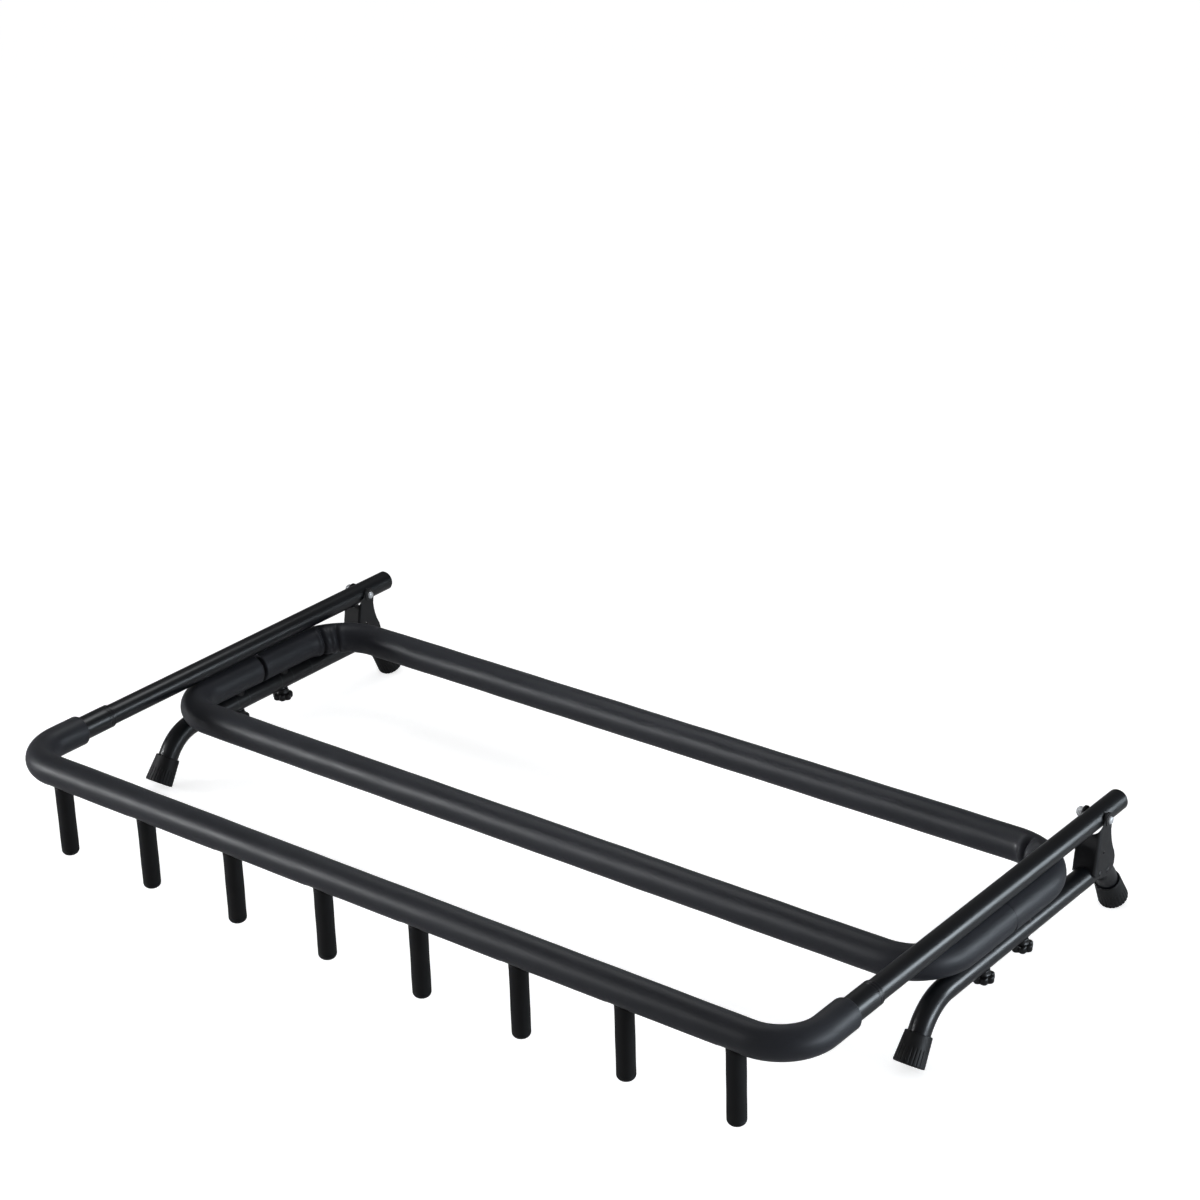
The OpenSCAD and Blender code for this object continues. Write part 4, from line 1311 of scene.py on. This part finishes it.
@dataclass
class Studio:
    """Pale floor, soft lights and the camera."""

    lens: float = 85.76
    sensor: float = 36.0
    azimuth: float = math.radians(38.50)
    elevation: float = math.radians(23.47)
    roll: float = math.radians(-1.52)
    eye: tuple[float, float, float] = (1.6317, -1.9715, 1.4188)
    floor_size: float = 60.0
    floor_tone: float = 0.7
    floor_bounce: float = 0.45
    floor_lift: float = 0.69
    surround: float = 0.46
    surround_gloss: float = 0.085
    surround_seen: float = 1.0
    surround_tint: tuple[float, float, float] = (0.985, 0.99, 1.0)
    floor_roughness: float = 0.9
    floor_specular: float = 0.1
    mottle_scale: float = 3.0
    mottle_depth: float = 0.01
    near: float = 0.05
    far: float = 200.0

    def build(self) -> None:
        """Sets the stage."""
        self._floor()
        self._world()
        for box in (
                SoftBox("front_left_box", (-2.8, -2.3, 0.95), (-0.254, -0.201, 0.1), (0.9, 0.8),
                        1.4, (0.96, 0.98, 1.0), math.radians(14)),
                SoftBox("back_right_box", (2.1, 1.5, 0.46), (0.48, -0.15, 0.1), (0.8, 0.7),
                        1.25, (0.82, 0.92, 1.0), math.radians(44)),
                SoftBox("right_low_box", (2.3, 0.2, 0.28), (0.48, -0.1, 0.08), (1.0, 0.4),
                        6.5, (0.82, 0.91, 1.0), math.radians(110)),
                SoftBox("top_box", (-0.45, 0.4, 1.05), (0.0, 0.0, 0.08), (0.6, 0.35),
                        1.9, (0.96, 0.98, 1.0))):
            box.build()
        self._camera()
        bpy.context.scene.view_settings.view_transform = "Standard"

    def _floor(self) -> None:
        """A wide pale floor with a faint mottle, dimmer where it lights the rack than as seen."""
        half = self.floor_size / 2
        mesh = bpy.data.meshes.new("studio_floor")
        corners = [(-half, -half, 0), (half, -half, 0), (half, half, 0), (-half, half, 0)]
        mesh.from_pydata(corners, [], [(0, 1, 2, 3)])
        floor = bpy.data.objects.new("studio_floor", mesh)
        bpy.context.scene.collection.objects.link(floor)
        pale = bpy.data.materials.new("pale_floor")
        pale.use_nodes = True
        tree = pale.node_tree
        shader = tree.nodes["Principled BSDF"]
        shader.inputs["Specular IOR Level"].default_value = self.floor_specular
        shader.inputs["Roughness"].default_value = self.floor_roughness
        place = tree.nodes.new("ShaderNodeTexCoord")
        mottle = tree.nodes.new("ShaderNodeTexNoise")
        mottle.inputs["Scale"].default_value = self.mottle_scale
        tone = tree.nodes.new("ShaderNodeMapRange")
        tone.inputs["To Min"].default_value = self.floor_tone - self.mottle_depth
        tone.inputs["To Max"].default_value = self.floor_tone + self.mottle_depth
        tree.links.new(place.outputs["Object"], mottle.inputs["Vector"])
        tree.links.new(mottle.outputs[0], tone.inputs["Value"])
        seen = tree.nodes.new("ShaderNodeLightPath")
        bounce = tree.nodes.new("ShaderNodeMix")
        bounce.inputs[NUMBER_UNDER].default_value = self.floor_bounce
        tree.links.new(seen.outputs["Is Camera Ray"], bounce.inputs[MIX_BY])
        tree.links.new(tone.outputs["Result"], bounce.inputs[NUMBER_OVER])
        tree.links.new(bounce.outputs[NUMBER_OUT], shader.inputs["Base Color"])
        lift = tree.nodes.new("ShaderNodeMath")
        lift.operation = "MULTIPLY"
        lift.inputs[1].default_value = self.floor_lift
        tree.links.new(seen.outputs["Is Camera Ray"], lift.inputs[0])
        shader.inputs["Emission Color"].default_value = (1.0, 1.0, 1.0, 1.0)
        tree.links.new(lift.outputs[0], shader.inputs["Emission Strength"])
        mesh.materials.append(pale)

    def _world(self) -> None:
        """An even pale surround that shows little in glossy surfaces."""
        world = bpy.data.worlds.new("studio_surround")
        world.use_nodes = True
        back = world.node_tree.nodes["Background"]
        back.inputs["Color"].default_value = (*self.surround_tint, 1.0)
        seen = world.node_tree.nodes.new("ShaderNodeLightPath")
        lit = world.node_tree.nodes.new("ShaderNodeMapRange")
        lit.inputs["To Min"].default_value = self.surround
        lit.inputs["To Max"].default_value = self.surround_gloss
        strength = world.node_tree.nodes.new("ShaderNodeMix")
        strength.inputs[NUMBER_OVER].default_value = self.surround_seen
        world.node_tree.links.new(seen.outputs["Is Glossy Ray"], lit.inputs["Value"])
        world.node_tree.links.new(seen.outputs["Is Camera Ray"], strength.inputs[MIX_BY])
        world.node_tree.links.new(lit.outputs["Result"], strength.inputs[NUMBER_UNDER])
        world.node_tree.links.new(strength.outputs[NUMBER_OUT], back.inputs["Strength"])
        bpy.context.scene.world = world

    def _camera(self) -> None:
        """A long lens above and to the right of the front, rolled a little."""
        lens = bpy.data.cameras.new("product_camera")
        lens.lens = self.lens
        lens.sensor_width = self.sensor
        lens.sensor_fit = "HORIZONTAL"
        lens.clip_start, lens.clip_end = self.near, self.far
        holder = bpy.data.objects.new("product_camera", lens)
        level = math.cos(self.elevation)
        ahead = Vector((-math.sin(self.azimuth) * level, math.cos(self.azimuth) * level,
                        -math.sin(self.elevation)))
        right = ahead.cross(Vector((0, 0, 1))).normalized()
        up = right.cross(ahead)
        c, s = math.cos(self.roll), math.sin(self.roll)
        rolled_right = c * right + s * up
        rolled_up = -s * right + c * up
        turn = Matrix((rolled_right, rolled_up, -ahead)).transposed().to_4x4()
        holder.matrix_world = Matrix.Translation(Vector(self.eye)) @ turn
        bpy.context.scene.collection.objects.link(holder)
        bpy.context.scene.camera = holder


# ---------------------------------------------------------------- the whole rack

CLAMP_RING = 9 * MM  # a rubbed ring on the leg stands this far in front of and behind each clamp
REAR_RING_Y = 140.6 * MM  # one more rubbed ring, behind the clamps


def main() -> None:
    """Builds the rack's looks in order."""
    logging.basicConfig(level=logging.INFO, format="%(name)s: %(message)s")
    clamp_boxes = [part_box(f"screw_{word}_right") for word in ("front", "rear")]
    clamp_rings = tuple((low.y + high.y) / 2 + step for low, high in clamp_boxes
                        for step in (-CLAMP_RING, CLAMP_RING))
    finishes = Finishes(ShaderGroups(), (*clamp_rings, REAR_RING_Y))
    for part in (Cradle(finishes), PegFrame(finishes), Legs(finishes), ClampKnobs(finishes),
                 Pivots(finishes), Studio()):
        part.build()
        LOG.info("built %s", type(part).__name__)


if __name__ == "__main__":
    main()
